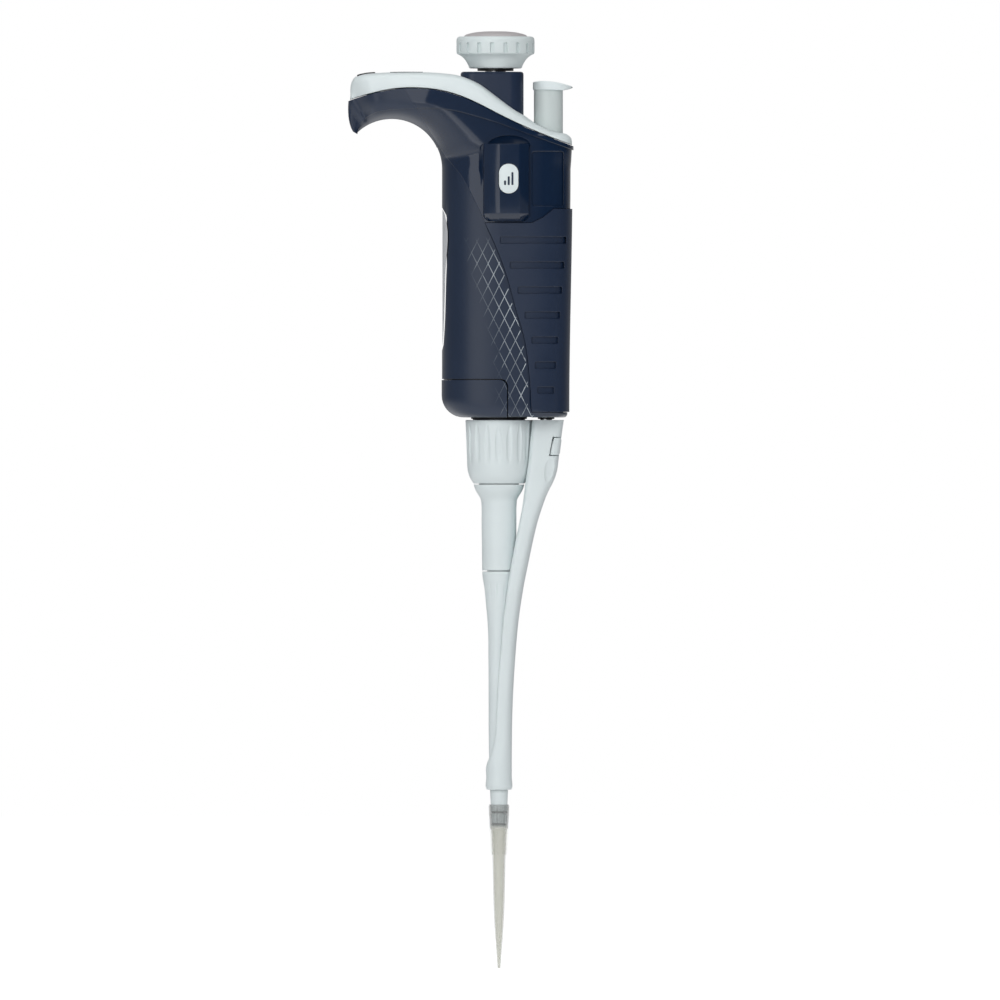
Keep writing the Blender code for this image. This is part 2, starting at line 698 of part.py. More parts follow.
display_lens = flat_solid("display_lens", lens_outline(0.0), HOOK_TOP_Z - 6.0, OUTSIDE * 2, LENS, "top")
keep(display_lens, handle_form("lens_skin", LENS_PROUD))
cut(display_lens, handle_form("lens_inside", LENS_PROUD - LENS_THICKNESS))

key_skin = handle_form("key_skin", KEY_PROUD)
for key_name, key_side in (("key_near", -1), ("key_far", 1)):
    key = flat_solid(key_name, key_outline(key_side, 0.0), KEY_BOTTOM_Z, OUTSIDE * 2, BLACK, "top")
    keep(key, key_skin)


# Turret, knob and its stem

SPRING_SEAT_Z = CHASSIS_TOP_Z + CHASSIS_PLATE + GAP
FLANGE_TOP_Z = 89.5
FLANGE_BOTTOM_Z = 88.0
BUSH_TOP_Z = 108.8
HUB_Z = 110.6
STEM_TOP_Z = 112.3
CAP_SEAT_Z = 116.2

turret = flat_solid("turret", turret_outline(0.0), SPRING_SEAT_Z, TURRET_TOP_Z, NAVY, "top")
round_edges(turret, 0.7, 1)
turret_bore = turned("turret_bore", [(0.0, OUTSIDE * 2), (STEM_RADIUS + GAP, OUTSIDE * 2),
                                     (STEM_RADIUS + GAP, FLANGE_TOP_Z + GAP),
                                     (STEM_FLANGE_RADIUS + GAP, FLANGE_TOP_Z + GAP),
                                     (STEM_FLANGE_RADIUS + GAP, OUTSIDE), (0.0, OUTSIDE)], axis_x=KNOB_X)
cut(turret, turret_bore)

knob_bush = tube("knob_bush", STEM_RADIUS + GAP, 5.6, TURRET_TOP_Z + GAP, BUSH_TOP_Z, BLACK, KNOB_X)

knob_stem = turned("knob_stem", [(0.0, STEM_TOP_Z), (STEM_RADIUS, STEM_TOP_Z), (STEM_RADIUS, FLANGE_TOP_Z),
                                 (STEM_FLANGE_RADIUS, FLANGE_TOP_Z), (STEM_FLANGE_RADIUS, FLANGE_BOTTOM_Z),
                                 (0.0, FLANGE_BOTTOM_Z)], STEEL, KNOB_X, SMALL_ROUND_COUNT)

knob_wheel = turned("knob_wheel", [
    (0.0, CAP_SEAT_Z), (KNOB_CAP_RADIUS + GAP, CAP_SEAT_Z), (KNOB_CAP_RADIUS + GAP, KNOB_RING_TOP_Z - 0.2),
    (KNOB_RADIUS - 0.8, KNOB_RING_TOP_Z), (KNOB_RADIUS, KNOB_RING_TOP_Z - 0.8),
    (KNOB_RADIUS, KNOB_RING_BOTTOM_Z + 0.5), (KNOB_RADIUS - 0.5, KNOB_RING_BOTTOM_Z),
    (KNOB_SKIRT_RADIUS + 2.1, KNOB_RING_BOTTOM_Z - 0.2), (KNOB_SKIRT_RADIUS + 1.2, KNOB_RING_BOTTOM_Z - 1.2),
    (KNOB_SKIRT_RADIUS + 0.5, KNOB_SKIRT_Z + 1.8), (KNOB_SKIRT_RADIUS, KNOB_SKIRT_Z),
    (STEM_RADIUS + 3.0, KNOB_SKIRT_Z), (STEM_RADIUS + 3.0, HUB_Z), (STEM_RADIUS + GAP, HUB_Z),
    (STEM_RADIUS + GAP, STEM_TOP_Z + GAP), (0.0, STEM_TOP_Z + GAP)], KNOB_GREY, KNOB_X, KNOB_ROUND_COUNT)


def ring_of_boxes(name, count, radius, size, z, offset_degrees, axis_x):
    """Equal boxes set round a vertical axis, as one cutter."""
    build = bmesh.new()
    for k in range(count):
        turn = Matrix.Rotation(radians(offset_degrees) + 2 * pi * k / count, 4, "Z")
        made = bmesh.ops.create_cube(build, size=1.0)
        place = turn @ Matrix.Translation((radius * MM, 0.0, z * MM))
        scale = Matrix.Diagonal((*[value * MM for value in size], 1.0))
        bmesh.ops.transform(build, matrix=place @ scale, verts=made["verts"])
    return add_object(name, finish_mesh(name, build), place=(axis_x, 0.0, 0.0))


KNOB_SLOT_BOTTOM_Z = 112.9
KNOB_SLOT_TOP_Z = 116.1
cut(knob_wheel, ring_of_boxes("knob_slots", KNOB_SLOT_COUNT, KNOB_RADIUS,
                              (2 * KNOB_SLOT_DEPTH, KNOB_SLOT_WIDTH, KNOB_SLOT_TOP_Z - KNOB_SLOT_BOTTOM_Z),
                              (KNOB_SLOT_TOP_Z + KNOB_SLOT_BOTTOM_Z) / 2, 5.0, KNOB_X))

CAP_EDGE_Z = 117.8
knob_cap = turned("knob_cap", [
    (0.0, KNOB_CAP_TOP_Z), (4.0, KNOB_CAP_TOP_Z - 0.1), (8.0, KNOB_CAP_TOP_Z - 0.6),
    (KNOB_CAP_RADIUS - 0.5, KNOB_CAP_TOP_Z - 1.3), (KNOB_CAP_RADIUS, CAP_EDGE_Z),
    (KNOB_CAP_RADIUS, CAP_SEAT_Z + GAP), (0.0, CAP_SEAT_Z + GAP)], KNOB_PINK, KNOB_X)


def coil(name, radius, wire, low, high, turns, axis_x):
    """A compression spring: a helix of round wire with filled ends."""
    curve = bpy.data.curves.new(name, "CURVE")
    curve.dimensions = "3D"
    curve.bevel_depth = wire * MM
    curve.bevel_resolution = 1
    curve.use_fill_caps = True
    spline = curve.splines.new("POLY")
    steps = COIL_COUNT * turns
    spline.points.add(steps)
    bottom = low + wire
    rise = high - low - 2 * wire
    for k, point in enumerate(spline.points):
        turn = 2 * pi * k / COIL_COUNT
        point.co = (radius * cos(turn) * MM, radius * sin(turn) * MM, (bottom + rise * k / steps) * MM, 1.0)
    curve.materials.append(STEEL)
    made = bpy.data.objects.new(name, curve)
    made.parent = handle_frame
    made.location = (axis_x * MM, 0.0, 0.0)
    PARTS.objects.link(made)
    return made


knob_spring = coil("knob_spring", 3.4, 0.35, SPRING_SEAT_Z, FLANGE_BOTTOM_Z - GAP, 3, KNOB_X)


# Wireless module on the near side

def module_plan(reach, z):
    """Plan outline of the module at a height; reach is how far its flat face stands out."""
    back_y = -(HALF_DEPTH - WALL)
    outline = [(MODULE_LEFT_X, back_y), (MODULE_LEFT_X, -reach + MODULE_CHAMFER + 0.7),
               (MODULE_LEFT_X + 0.4, -reach + MODULE_CHAMFER), (MODULE_LEFT_X + 1.9, -reach + 1.1),
               (MODULE_FLAT_LEFT_X, -reach), (MODULE_FLAT_RIGHT_X, -reach),
               (MODULE_RIGHT_X, -reach + MODULE_CHAMFER), (MODULE_RIGHT_X, back_y)]
    return [(x * MM, y * MM, z * MM) for x, y in outline]


MODULE_FACE_Y = -(HALF_DEPTH + MODULE_PROUD)
MODULE_CHAMFER = 2.3
wireless_cover = loft("wireless_cover", [module_plan(-MODULE_FACE_Y - MODULE_CHAMFER, MODULE_BOTTOM_Z),
                                         module_plan(-MODULE_FACE_Y, MODULE_BOTTOM_Z + MODULE_CHAMFER),
                                         module_plan(-MODULE_FACE_Y, MODULE_TOP_Z)], NAVY)
module_seat = handle_form("module_seat", GAP)
cut(module_seat, module_window("module_boss", 0.0))


def badge_outline(grow):
    """Outline of the pill-shaped badge, drawn in side view."""
    half_width = BADGE_WIDTH / 2 + grow
    half_height = BADGE_HEIGHT / 2 + grow
    return rounded_rectangle(BADGE_X - half_width, BADGE_Z - half_height, BADGE_X + half_width,
                             BADGE_Z + half_height, half_width - 0.02, steps=6)


BADGE_PROUD = 0.1
badge_recess = flat_solid("badge_recess", badge_outline(GAP), -OUTSIDE,
                          MODULE_FACE_Y - BADGE_PROUD + BADGE_THICKNESS + GAP)
cut(wireless_cover, module_seat, badge_recess)
wireless_badge = flat_solid("wireless_badge", badge_outline(0.0), MODULE_FACE_Y - BADGE_PROUD,
                            MODULE_FACE_Y - BADGE_PROUD + BADGE_THICKNESS, WHITE)


# Handle collar, connecting nut and barrel

COLLAR_TOP_Z = CHASSIS_BASE_Z - GAP
FLANGE_Z = WALL + GAP
FLANGE_RADIUS = 10.5
handle_collar = turned("handle_collar", [
    (COLLAR_BORE, COLLAR_TOP_Z), (6.0, COLLAR_TOP_Z), (6.0, FLANGE_Z + 2.0), (FLANGE_RADIUS, FLANGE_Z + 2.0),
    (FLANGE_RADIUS, FLANGE_Z), (COLLAR_RADIUS, FLANGE_Z), (COLLAR_RADIUS, NUT_TOP_Z + GAP),
    (SPIGOT_RADIUS, NUT_TOP_Z + GAP), (SPIGOT_RADIUS, SPIGOT_BOTTOM_Z),
    (COLLAR_BORE, SPIGOT_BOTTOM_Z)], BLACK, steps=20)

NUT_BORE = SPIGOT_RADIUS + GAP
LIP_TOP_Z = -16.3
connecting_nut = turned("connecting_nut", [
    (NUT_BORE, NUT_TOP_Z), (NUT_RADIUS - 0.4, NUT_TOP_Z), (NUT_RADIUS, NUT_TOP_Z - 0.4),
    (NUT_RADIUS - 0.55, -15.0), (NUT_RADIUS - 0.75, -16.6),
    (NUT_RADIUS - 1.3, -18.6), (NUT_FOOT_RADIUS + 0.5, NUT_BOTTOM_Z + 0.5), (NUT_FOOT_RADIUS, NUT_BOTTOM_Z),
    (BARREL_NECK_RADIUS + GAP, NUT_BOTTOM_Z), (BARREL_NECK_RADIUS + GAP, LIP_TOP_Z), (NUT_BORE, LIP_TOP_Z)],
    WHITE, steps=KNOB_ROUND_COUNT)

FLUTE_TOP_Z = -2.6
FLUTE_BOTTOM_Z = -16.2


def nut_flutes():
    """Lens-shaped flutes round the nut: stretched spheres that bite into its side, as one cutter."""
    build = bmesh.new()
    half_length = (FLUTE_TOP_Z - FLUTE_BOTTOM_Z) / 2
    for k in range(NUT_FLUTE_COUNT):
        turn = Matrix.Rotation(radians(-8.6) + 2 * pi * k / NUT_FLUTE_COUNT, 4, "Z")
        made = bmesh.ops.create_uvsphere(build, u_segments=6, v_segments=4, radius=1.0)
        place = turn @ Matrix.Translation(((NUT_RADIUS + 0.2) * MM, 0.0, (FLUTE_TOP_Z - half_length) * MM))
        scale = Matrix.Diagonal((1.0 * MM, 1.2 * MM, half_length * MM, 1.0))
        bmesh.ops.transform(build, matrix=place @ scale, verts=made["verts"])
    return add_object("nut_flutes", finish_mesh("nut_flutes", build))


cut(connecting_nut, nut_flutes())

BARREL_TOP_Z = SPIGOT_BOTTOM_Z - GAP
BARREL_FLANGE_RADIUS = NUT_BORE - GAP - 0.1
upper_barrel = turned("upper_barrel", [
    (BARREL_BORE, BARREL_TOP_Z), (BARREL_FLANGE_RADIUS, BARREL_TOP_Z),
    (BARREL_FLANGE_RADIUS, LIP_TOP_Z + GAP),
    (BARREL_NECK_RADIUS, LIP_TOP_Z + GAP), (BARREL_NECK_RADIUS, NUT_BOTTOM_Z - GAP),
    (NUT_FOOT_RADIUS, NUT_BOTTOM_Z - GAP), (7.4, -22.4), (6.2, -24.2), (BARREL_RADIUS + 0.05, -25.4),
    (BARREL_RADIUS, -26.0), (BARREL_FOOT_RADIUS, BARREL_JOINT_Z + GAP / 2),
    (BARREL_BORE, BARREL_JOINT_Z + GAP / 2)], WHITE, steps=20)

SOCKET_TOP_Z = -43.4
PISTON_BORE = PISTON_RADIUS + GAP
LOWER_TOP_Z = BARREL_JOINT_Z - GAP / 2
CONE_TOP_Z = -120.0
CONE_TOP_RADIUS = 2.6
NOZZLE_BORE = 0.9
RING_GAP = 0.12
SEAL_HEIGHT = 1.8
RING_HEIGHT = 0.6
RING_INNER = 1.75
RING_PROUD = 0.05


def cone_radius(z):
    """Radius of the cone that carries the tip."""
    share = (CONE_TOP_Z - z) / (CONE_TOP_Z - CONE_BOTTOM_Z)
    return CONE_TOP_RADIUS + (CONE_RADIUS - CONE_TOP_RADIUS) * share


def ring_groove(z):
    """Profile points of the groove that holds a cone ring."""
    reach = RING_HEIGHT / 2 + RING_GAP
    floor = RING_INNER - RING_GAP
    return [(cone_radius(z + reach), z + reach), (floor, z + reach), (floor, z - reach),
            (cone_radius(z - reach), z - reach)]


CONE_RINGS = (("cone_ring_upper", -122.4), ("cone_ring_lower", -126.1))
# Outer radius of the lower barrel at each height between its joint and the cone
LOWER_BODY = [(5.1, -49.5), (4.65, -51.0), (4.3, -53.5), (4.0, -58.4), (3.4, -65.9), (3.1, -105.0),
              (2.85, -114.0)]
lower_profile = [
    (PISTON_BORE, SOCKET_TOP_Z), (BARREL_BORE - GAP, SOCKET_TOP_Z), (BARREL_BORE - GAP, LOWER_TOP_Z),
    (BARREL_FOOT_RADIUS - 0.05, LOWER_TOP_Z), *LOWER_BODY, (CONE_TOP_RADIUS, CONE_TOP_Z)]
for ring_name, ring_z in CONE_RINGS:
    lower_profile += ring_groove(ring_z)
    tube(ring_name, RING_INNER, cone_radius(ring_z) + RING_PROUD, ring_z - RING_HEIGHT / 2,
         ring_z + RING_HEIGHT / 2, DARK_RUBBER, steps=SMALL_ROUND_COUNT)
lower_profile += [(CONE_RADIUS, CONE_BOTTOM_Z), (NOZZLE_BORE, CONE_BOTTOM_Z), (NOZZLE_BORE, -86.0),
                  (PISTON_BORE, -84.0)]
lower_barrel = turned("lower_barrel", lower_profile, WHITE, steps=SMALL_ROUND_COUNT)

piston_seal = tube("piston_seal", PISTON_BORE, BARREL_BORE - GAP, SOCKET_TOP_Z + GAP,
                   SOCKET_TOP_Z + GAP + SEAL_HEIGHT, DARK_RUBBER, steps=SMALL_ROUND_COUNT)


# Disposable tip

TIP_FIN_COUNT = 8
TIP_FIN_WIDTH = 0.45
TIP_COLLAR_RADIUS = 3.35
TIP_COLLAR_FOOT_RADIUS = 2.57
TIP_COLLAR_FOOT_Z = -135.5
TIP_SEAT_Z = -127.0
TIP_SEAT_RADIUS = 2.45
TIP_MOUTH_RADIUS = 2.82
TIP_MOUTH_WALL = 0.28
TIP_NOZZLE_BORE = 0.2
TIP_NOZZLE_WALL = 0.28
# Outer radius of the tip's body at each height below its collar
TIP_BODY = [(2.3, TIP_SEAT_Z - 1.7), (2.05, TIP_COLLAR_FOOT_Z), (1.67, -151.4), (1.55, -155.3)]

tip = turned("tip", [(0.0, TIP_TOP_Z), (TIP_MOUTH_RADIUS + TIP_MOUTH_WALL, TIP_TOP_Z),
                     (TIP_SEAT_RADIUS + TIP_WALL, TIP_SEAT_Z), *TIP_BODY,
                     (TIP_NOZZLE_BORE + TIP_NOZZLE_WALL, TIP_BOTTOM_Z), (0.0, TIP_BOTTOM_Z)], TIP_CLEAR,
             steps=SMALL_ROUND_COUNT)


def tip_fins():
    """Eight thin fins round the mouth of the tip."""
    build = bmesh.new()
    top_z = TIP_TOP_Z - GAP
    root = TIP_BODY[1][0] - TIP_WALL / 2
    outline = [(TIP_MOUTH_RADIUS, top_z), (TIP_COLLAR_RADIUS, top_z),
               (TIP_COLLAR_FOOT_RADIUS, TIP_COLLAR_FOOT_Z), (root, TIP_COLLAR_FOOT_Z)]
    for k in range(TIP_FIN_COUNT):
        turn = Matrix.Rotation(2 * pi * k / TIP_FIN_COUNT, 4, "Z")
        half = TIP_FIN_WIDTH / 2
        near = [build.verts.new(turn @ Vector((r * MM, -half * MM, z * MM))) for r, z in outline]
        far = [build.verts.new(turn @ Vector((r * MM, half * MM, z * MM))) for r, z in outline]
        build.faces.new(near)
        build.faces.new(list(reversed(far)))
        for a in range(4):
            b = (a + 1) % 4
            build.faces.new((near[b], near[a], far[a], far[b]))
    return add_object("tip_fins", finish_mesh("tip_fins", build))


join(tip, tip_fins())
PAST = 1.0
tip_bore = [(0.0, TIP_TOP_Z + PAST), (TIP_MOUTH_RADIUS, TIP_TOP_Z + PAST), (TIP_MOUTH_RADIUS, TIP_TOP_Z),
            (TIP_SEAT_RADIUS, TIP_SEAT_Z)]
tip_bore += [(radius - TIP_WALL, z) for radius, z in TIP_BODY]
tip_bore += [(TIP_NOZZLE_BORE, TIP_BOTTOM_Z), (TIP_NOZZLE_BORE, TIP_BOTTOM_Z - PAST),
             (0.0, TIP_BOTTOM_Z - PAST)]
cut(tip, turned("tip_bore", tip_bore, steps=SMALL_ROUND_COUNT))


# Tip ejector: button, rod, spring, arm and the arm's latch

BUTTON_FRONT_X = 10.5
BUTTON_HALF_WIDTH = 5.2
BUTTON_LIP_X = 22.8
BUTTON_CAP_BOTTOM_Z = 101.4
BUTTON_LIP_Z = 102.5
ROD_TOP_Z = 89.7
ROD_BOTTOM_Z = -4.5
ROD_FLANGE_Z = 60.3
ROD_FLANGE_HEIGHT = 1.2
ROD_FLANGE_RADIUS = 3.6

button_plan = rounded_rectangle(BUTTON_FRONT_X, -BUTTON_HALF_WIDTH, BUTTON_LIP_X, BUTTON_HALF_WIDTH,
                                BUTTON_HALF_WIDTH - 0.2)
ejector_button = flat_solid("ejector_button", button_plan, BUTTON_CAP_BOTTOM_Z, BUTTON_TOP_Z + GAP,
                            WHITE, "top")
cut(ejector_button, flat_solid("button_slope", [(-OUTSIDE, BUTTON_TOP_Z + GAP),
                                                (BUTTON_FRONT_X, BUTTON_TOP_Z), (BUTTON_LIP_X, BUTTON_LIP_Z),
                                                (OUTSIDE, BUTTON_LIP_Z - 3.0),
                                                (OUTSIDE, OUTSIDE * 2), (-OUTSIDE, OUTSIDE * 2)],
                               -OUTSIDE, OUTSIDE))
round_edges(ejector_button, 0.5, 1)
join(ejector_button, rod("button_stem", BUTTON_RADIUS, BUTTON_BOTTOM_Z, BUTTON_CAP_BOTTOM_Z + 1.0,
                         axis_x=BUTTON_X))
cut(ejector_button, rod("button_socket", ROD_RADIUS + GAP, BUTTON_BOTTOM_Z - 2.0, ROD_TOP_Z + GAP,
                        axis_x=ROD_X, steps=SMALL_ROUND_COUNT))

ejector_rod = turned("ejector_rod", [
    (0.0, ROD_TOP_Z), (ROD_RADIUS, ROD_TOP_Z), (ROD_RADIUS, ROD_FLANGE_Z + ROD_FLANGE_HEIGHT),
    (ROD_FLANGE_RADIUS, ROD_FLANGE_Z + ROD_FLANGE_HEIGHT), (ROD_FLANGE_RADIUS, ROD_FLANGE_Z),
    (ROD_RADIUS, ROD_FLANGE_Z), (ROD_RADIUS, ROD_BOTTOM_Z), (0.0, ROD_BOTTOM_Z)],
    STEEL, ROD_X, steps=SMALL_ROUND_COUNT)

ejector_bush = turned("ejector_bush", [
    (ROD_RADIUS + GAP, FLANGE_Z + 1.6), (3.8, FLANGE_Z + 1.6), (3.8, FLANGE_Z), (BUSH_RADIUS, FLANGE_Z),
    (BUSH_RADIUS, -0.5), (ROD_RADIUS + GAP, -0.5)], BLACK, ROD_X, steps=SMALL_ROUND_COUNT)

ejector_spring = coil("ejector_spring", 3.1, 0.4, CHASSIS_MID_Z + CHASSIS_PLATE + GAP, ROD_FLANGE_Z - GAP, 5,
                      ROD_X)

# Sections of the arm from its shoulder to the sleeve: z, left x, right x, half width, left and right power
ARM_SECTIONS = [(ARM_TOP_Z, 10.9, 20.1, 5.2, 6.0, 4.0), (-4.0, 10.9, 19.4, 5.2, 6.0, 4.0),
                (-16.3, 10.9, 18.0, 5.3, 6.0, 4.0), (-19.0, 10.4, 16.9, 5.5, 6.0, 3.5),
                (-21.2, 9.4, 15.5, 5.9, 7.0, 3.2), (-23.7, 7.9, 14.3, 6.3, 8.0, 3.0),
                (-28.7, 7.0, 12.7, 6.6, 8.0, 2.8), (-36.1, 5.5, 10.9, 6.7, 8.0, 2.6),
                (-41.1, 4.5, 9.7, 6.6, 8.0, 2.5), (-46.0, 3.4, 8.7, 6.5, 8.0, 2.5),
                (-51.0, 2.8, 7.75, 6.1, 8.0, 2.4), (-56.0, 2.3, 6.85, 5.5, 8.0, 2.3),
                (-61.0, 1.8, 6.2, 5.0, 8.0, 2.2), (-66.0, 1.0, 5.6, 4.7, 8.0, 2.2),
                (-73.6, 0.3, 5.0, 4.5, 8.0, 2.1), (-83.0, -0.6, 4.4, 4.35, 8.0, 2.0),
                (-93.2, -1.0, 4.1, 4.2, 8.0, 2.0), (-100.0, -1.4, 4.0, 4.1, 8.0, 2.0),
                (-105.1, -2.9, SLEEVE_RADIUS, 4.0, 4.0, 2.0),
                (-108.0, -SLEEVE_RADIUS, SLEEVE_RADIUS, SLEEVE_RADIUS, 2.0, 2.0),
                (ARM_BOTTOM_Z, -SLEEVE_RADIUS, SLEEVE_RADIUS, SLEEVE_RADIUS, 2.0, 2.0)]


def arm_ring(z, left, right, half_width, left_power, right_power):
    """One level section of the arm."""
    return superellipse_ring(Vector((left, z)), Vector((right, z)), half_width, left_power, right_power,
                             ARM_COUNT)


LATCH_TOP_Z = -6.5
LATCH_BOTTOM_Z = -11.5
LATCH_LEFT_X = 15.75
LATCH_RIGHT_X = 19.1
LATCH_TRAVEL = 0.7
THUMB_SCOOP_X = 17.4
THUMB_SCOOP_Y = 5.3
THUMB_SCOOP_Z = -17.0
THUMB_SCOOP_REACH = 2.8
THUMB_SCOOP_DEPTH = 1.3
THUMB_SCOOP_HALF_HEIGHT = 5.0

ejector_arm = loft("ejector_arm", [arm_ring(*section) for section in ARM_SECTIONS], WHITE)
channel_profile = [
    (0.0, OUTSIDE), (NUT_RADIUS + RUNNING_GAP, OUTSIDE), (NUT_RADIUS + RUNNING_GAP, NUT_BOTTOM_Z + 3.5),
    (NUT_FOOT_RADIUS + SLEEVE_GAP + 0.4, NUT_BOTTOM_Z), (BARREL_RADIUS + SLEEVE_GAP + 0.5, -24.8),
    (BARREL_RADIUS + RUNNING_GAP, -26.5), (BARREL_FOOT_RADIUS + RUNNING_GAP, BARREL_JOINT_Z)]
channel_profile += [(radius + SLEEVE_GAP, z - 0.5) for radius, z in LOWER_BODY[:-1]]
channel_profile += [(LOWER_BODY[-2][0] + GAP, CONE_BOTTOM_Z), (0.0, CONE_BOTTOM_Z)]
arm_channel = turned("arm_channel", channel_profile)
latch_pocket = box("latch_pocket", (LATCH_LEFT_X - LATCH_TRAVEL - GAP, -OUTSIDE, LATCH_BOTTOM_Z - GAP),
                   (OUTSIDE, OUTSIDE, LATCH_TOP_Z + GAP))
arm_socket = rod("arm_socket", ROD_RADIUS + GAP, ROD_BOTTOM_Z - GAP, 2.0, axis_x=ROD_X,
                 steps=SMALL_ROUND_COUNT)
cut(ejector_arm, arm_channel, latch_pocket, arm_socket)
for side_name, side in (("near_thumb_scoop", -1), ("far_thumb_scoop", 1)):
    cut(ejector_arm, scoop(side_name, (THUMB_SCOOP_X, side * THUMB_SCOOP_Y, THUMB_SCOOP_Z),
                           (THUMB_SCOOP_REACH, THUMB_SCOOP_DEPTH, THUMB_SCOOP_HALF_HEIGHT)))

ejector_latch = box("ejector_latch", (LATCH_LEFT_X, -5.1, LATCH_BOTTOM_Z), (LATCH_RIGHT_X, 5.1, LATCH_TOP_Z),
                    WHITE, bevel=0.8)


# Chassis, motor and piston

SPINE_Y = HALF_DEPTH - SPINE_MARGIN - SPINE_THICKNESS
BOARD_Y = -(HALF_DEPTH - BOARD_MARGIN)
DECK_Z = CHASSIS_BASE_Z + CHASSIS_PLATE + GAP
MAIN_BOARD = ((BOARD_FRONT_X, BOARD_Y, DECK_Z), (BOARD_BACK_X, BOARD_Y + BOARD_THICKNESS, BOARD_TOP_Z))
# Chassis plates: name, height, front and back
CHASSIS_PLATES = (("base_plate", CHASSIS_BASE_Z, -12.0, OUTSIDE),
                  ("middle_plate", CHASSIS_MID_Z, BATTERY_FRONT_X + BATTERY_THICKNESS + GAP + 0.1, OUTSIDE),
                  ("top_plate", CHASSIS_TOP_Z, -13.0, 10.3))

chassis = add_object("chassis", fitting_form.data.copy(), BLACK)
chassis_frame = box("chassis_frame", (SPINE_FRONT_X, SPINE_Y, CHASSIS_BASE_Z),
                    (BOARD_BACK_X, SPINE_Y + SPINE_THICKNESS, CHASSIS_TOP_Z + 1.0))
for plate_name, plate_z, plate_front, plate_back in CHASSIS_PLATES:
    join(chassis_frame, box(plate_name, (plate_front, -OUTSIDE, plate_z),
                            (plate_back, OUTSIDE, plate_z + CHASSIS_PLATE)))
keep(chassis, chassis_frame)
board_slot = box("board_slot", (BOARD_FRONT_X - GAP, -OUTSIDE, DECK_Z - GAP),
                 tuple(value + GAP for value in MAIN_BOARD[1]))
cut(chassis, rod("shaft_holes", SCREW_RADIUS + RUNNING_GAP, 0.0, OUTSIDE * 2, steps=SMALL_ROUND_COUNT),
    rod("rod_holes", ROD_RADIUS + RUNNING_GAP, 0.0, OUTSIDE * 2, axis_x=ROD_X, steps=SMALL_ROUND_COUNT),
    board_slot)

main_board = box("main_board", *MAIN_BOARD, BOARD_GREEN)
battery = box("battery", (BATTERY_FRONT_X, -BATTERY_HALF_WIDTH, DECK_Z),
              (BATTERY_FRONT_X + BATTERY_THICKNESS, BATTERY_HALF_WIDTH, BATTERY_TOP_Z), CELL, bevel=1.0)

MOTOR_BOTTOM_Z = CHASSIS_MID_Z + CHASSIS_PLATE + GAP
motor = turned("motor", [
    (SCREW_RADIUS + GAP, MOTOR_BOTTOM_Z + MOTOR_LENGTH), (3.5, MOTOR_BOTTOM_Z + MOTOR_LENGTH),
    (3.5, MOTOR_BOTTOM_Z + MOTOR_LENGTH - 2.0), (MOTOR_RADIUS - 0.4, MOTOR_BOTTOM_Z + MOTOR_LENGTH - 2.0),
    (MOTOR_RADIUS, MOTOR_BOTTOM_Z + MOTOR_LENGTH - 2.4), (MOTOR_RADIUS, MOTOR_BOTTOM_Z),
    (SCREW_RADIUS + GAP, MOTOR_BOTTOM_Z)], STEEL, steps=20)

COUPLING_TOP_Z = -2.0
COUPLING_BOTTOM_Z = -12.0
COUPLING_DEPTH = 4.0
COUPLING_RADIUS = COLLAR_BORE - RUNNING_GAP
motor_shaft = rod("motor_shaft", SCREW_RADIUS, COUPLING_TOP_Z - COUPLING_DEPTH + GAP, CHASSIS_TOP_Z - 1.0,
                  STEEL, steps=SMALL_ROUND_COUNT)
piston_coupling = turned("piston_coupling", [
    (0.0, COUPLING_TOP_Z - COUPLING_DEPTH), (SCREW_RADIUS + GAP, COUPLING_TOP_Z - COUPLING_DEPTH),
    (SCREW_RADIUS + GAP, COUPLING_TOP_Z), (COUPLING_RADIUS, COUPLING_TOP_Z),
    (COUPLING_RADIUS, COUPLING_BOTTOM_Z), (PISTON_RADIUS + GAP, COUPLING_BOTTOM_Z),
    (PISTON_RADIUS + GAP, COUPLING_BOTTOM_Z + COUPLING_DEPTH), (0.0, COUPLING_BOTTOM_Z + COUPLING_DEPTH)],
    BLACK, steps=SMALL_ROUND_COUNT)
PISTON_BOTTOM_Z = -66.0
piston = rod("piston", PISTON_RADIUS, PISTON_BOTTOM_Z, COUPLING_BOTTOM_Z + COUPLING_DEPTH - GAP, STEEL,
             steps=SMALL_ROUND_COUNT)


# Display, keys' board and wireless board

DISPLAY_BOARD_Z = 99.8
DISPLAY_TOP_Z = 105.7
DISPLAY_BOARD_THICKNESS = 1.1
DISPLAY_BOARD_HALF_WIDTH = 7.6
WIRELESS_BOARD_THICKNESS = 1.0
WIRELESS_BOARD_MARGIN = 2.1

display_module = flat_solid("display_module", lens_outline(-DISPLAY_INSET - GAP),
                            DISPLAY_BOARD_Z + DISPLAY_BOARD_THICKNESS + GAP, DISPLAY_TOP_Z, BLACK, "top")
display_board = box("display_board", (KEY_FRONT_X + 3.0, -DISPLAY_BOARD_HALF_WIDTH, DISPLAY_BOARD_Z),
                    (LENS_BACK_X + 1.6, DISPLAY_BOARD_HALF_WIDTH, DISPLAY_BOARD_Z + DISPLAY_BOARD_THICKNESS),
                    BOARD_GREEN)
wireless_y = -(HALF_DEPTH - WALL) + GAP
wireless_board = box("wireless_board",
                     (MODULE_LEFT_X + WIRELESS_BOARD_MARGIN, wireless_y, MODULE_BOTTOM_Z + 2.8),
                     (MODULE_RIGHT_X - WIRELESS_BOARD_MARGIN, wireless_y + WIRELESS_BOARD_THICKNESS,
                      MODULE_TOP_Z - 5.2), BOARD_GREEN)


# Finish: bake each part's modifiers and shade its round faces smooth

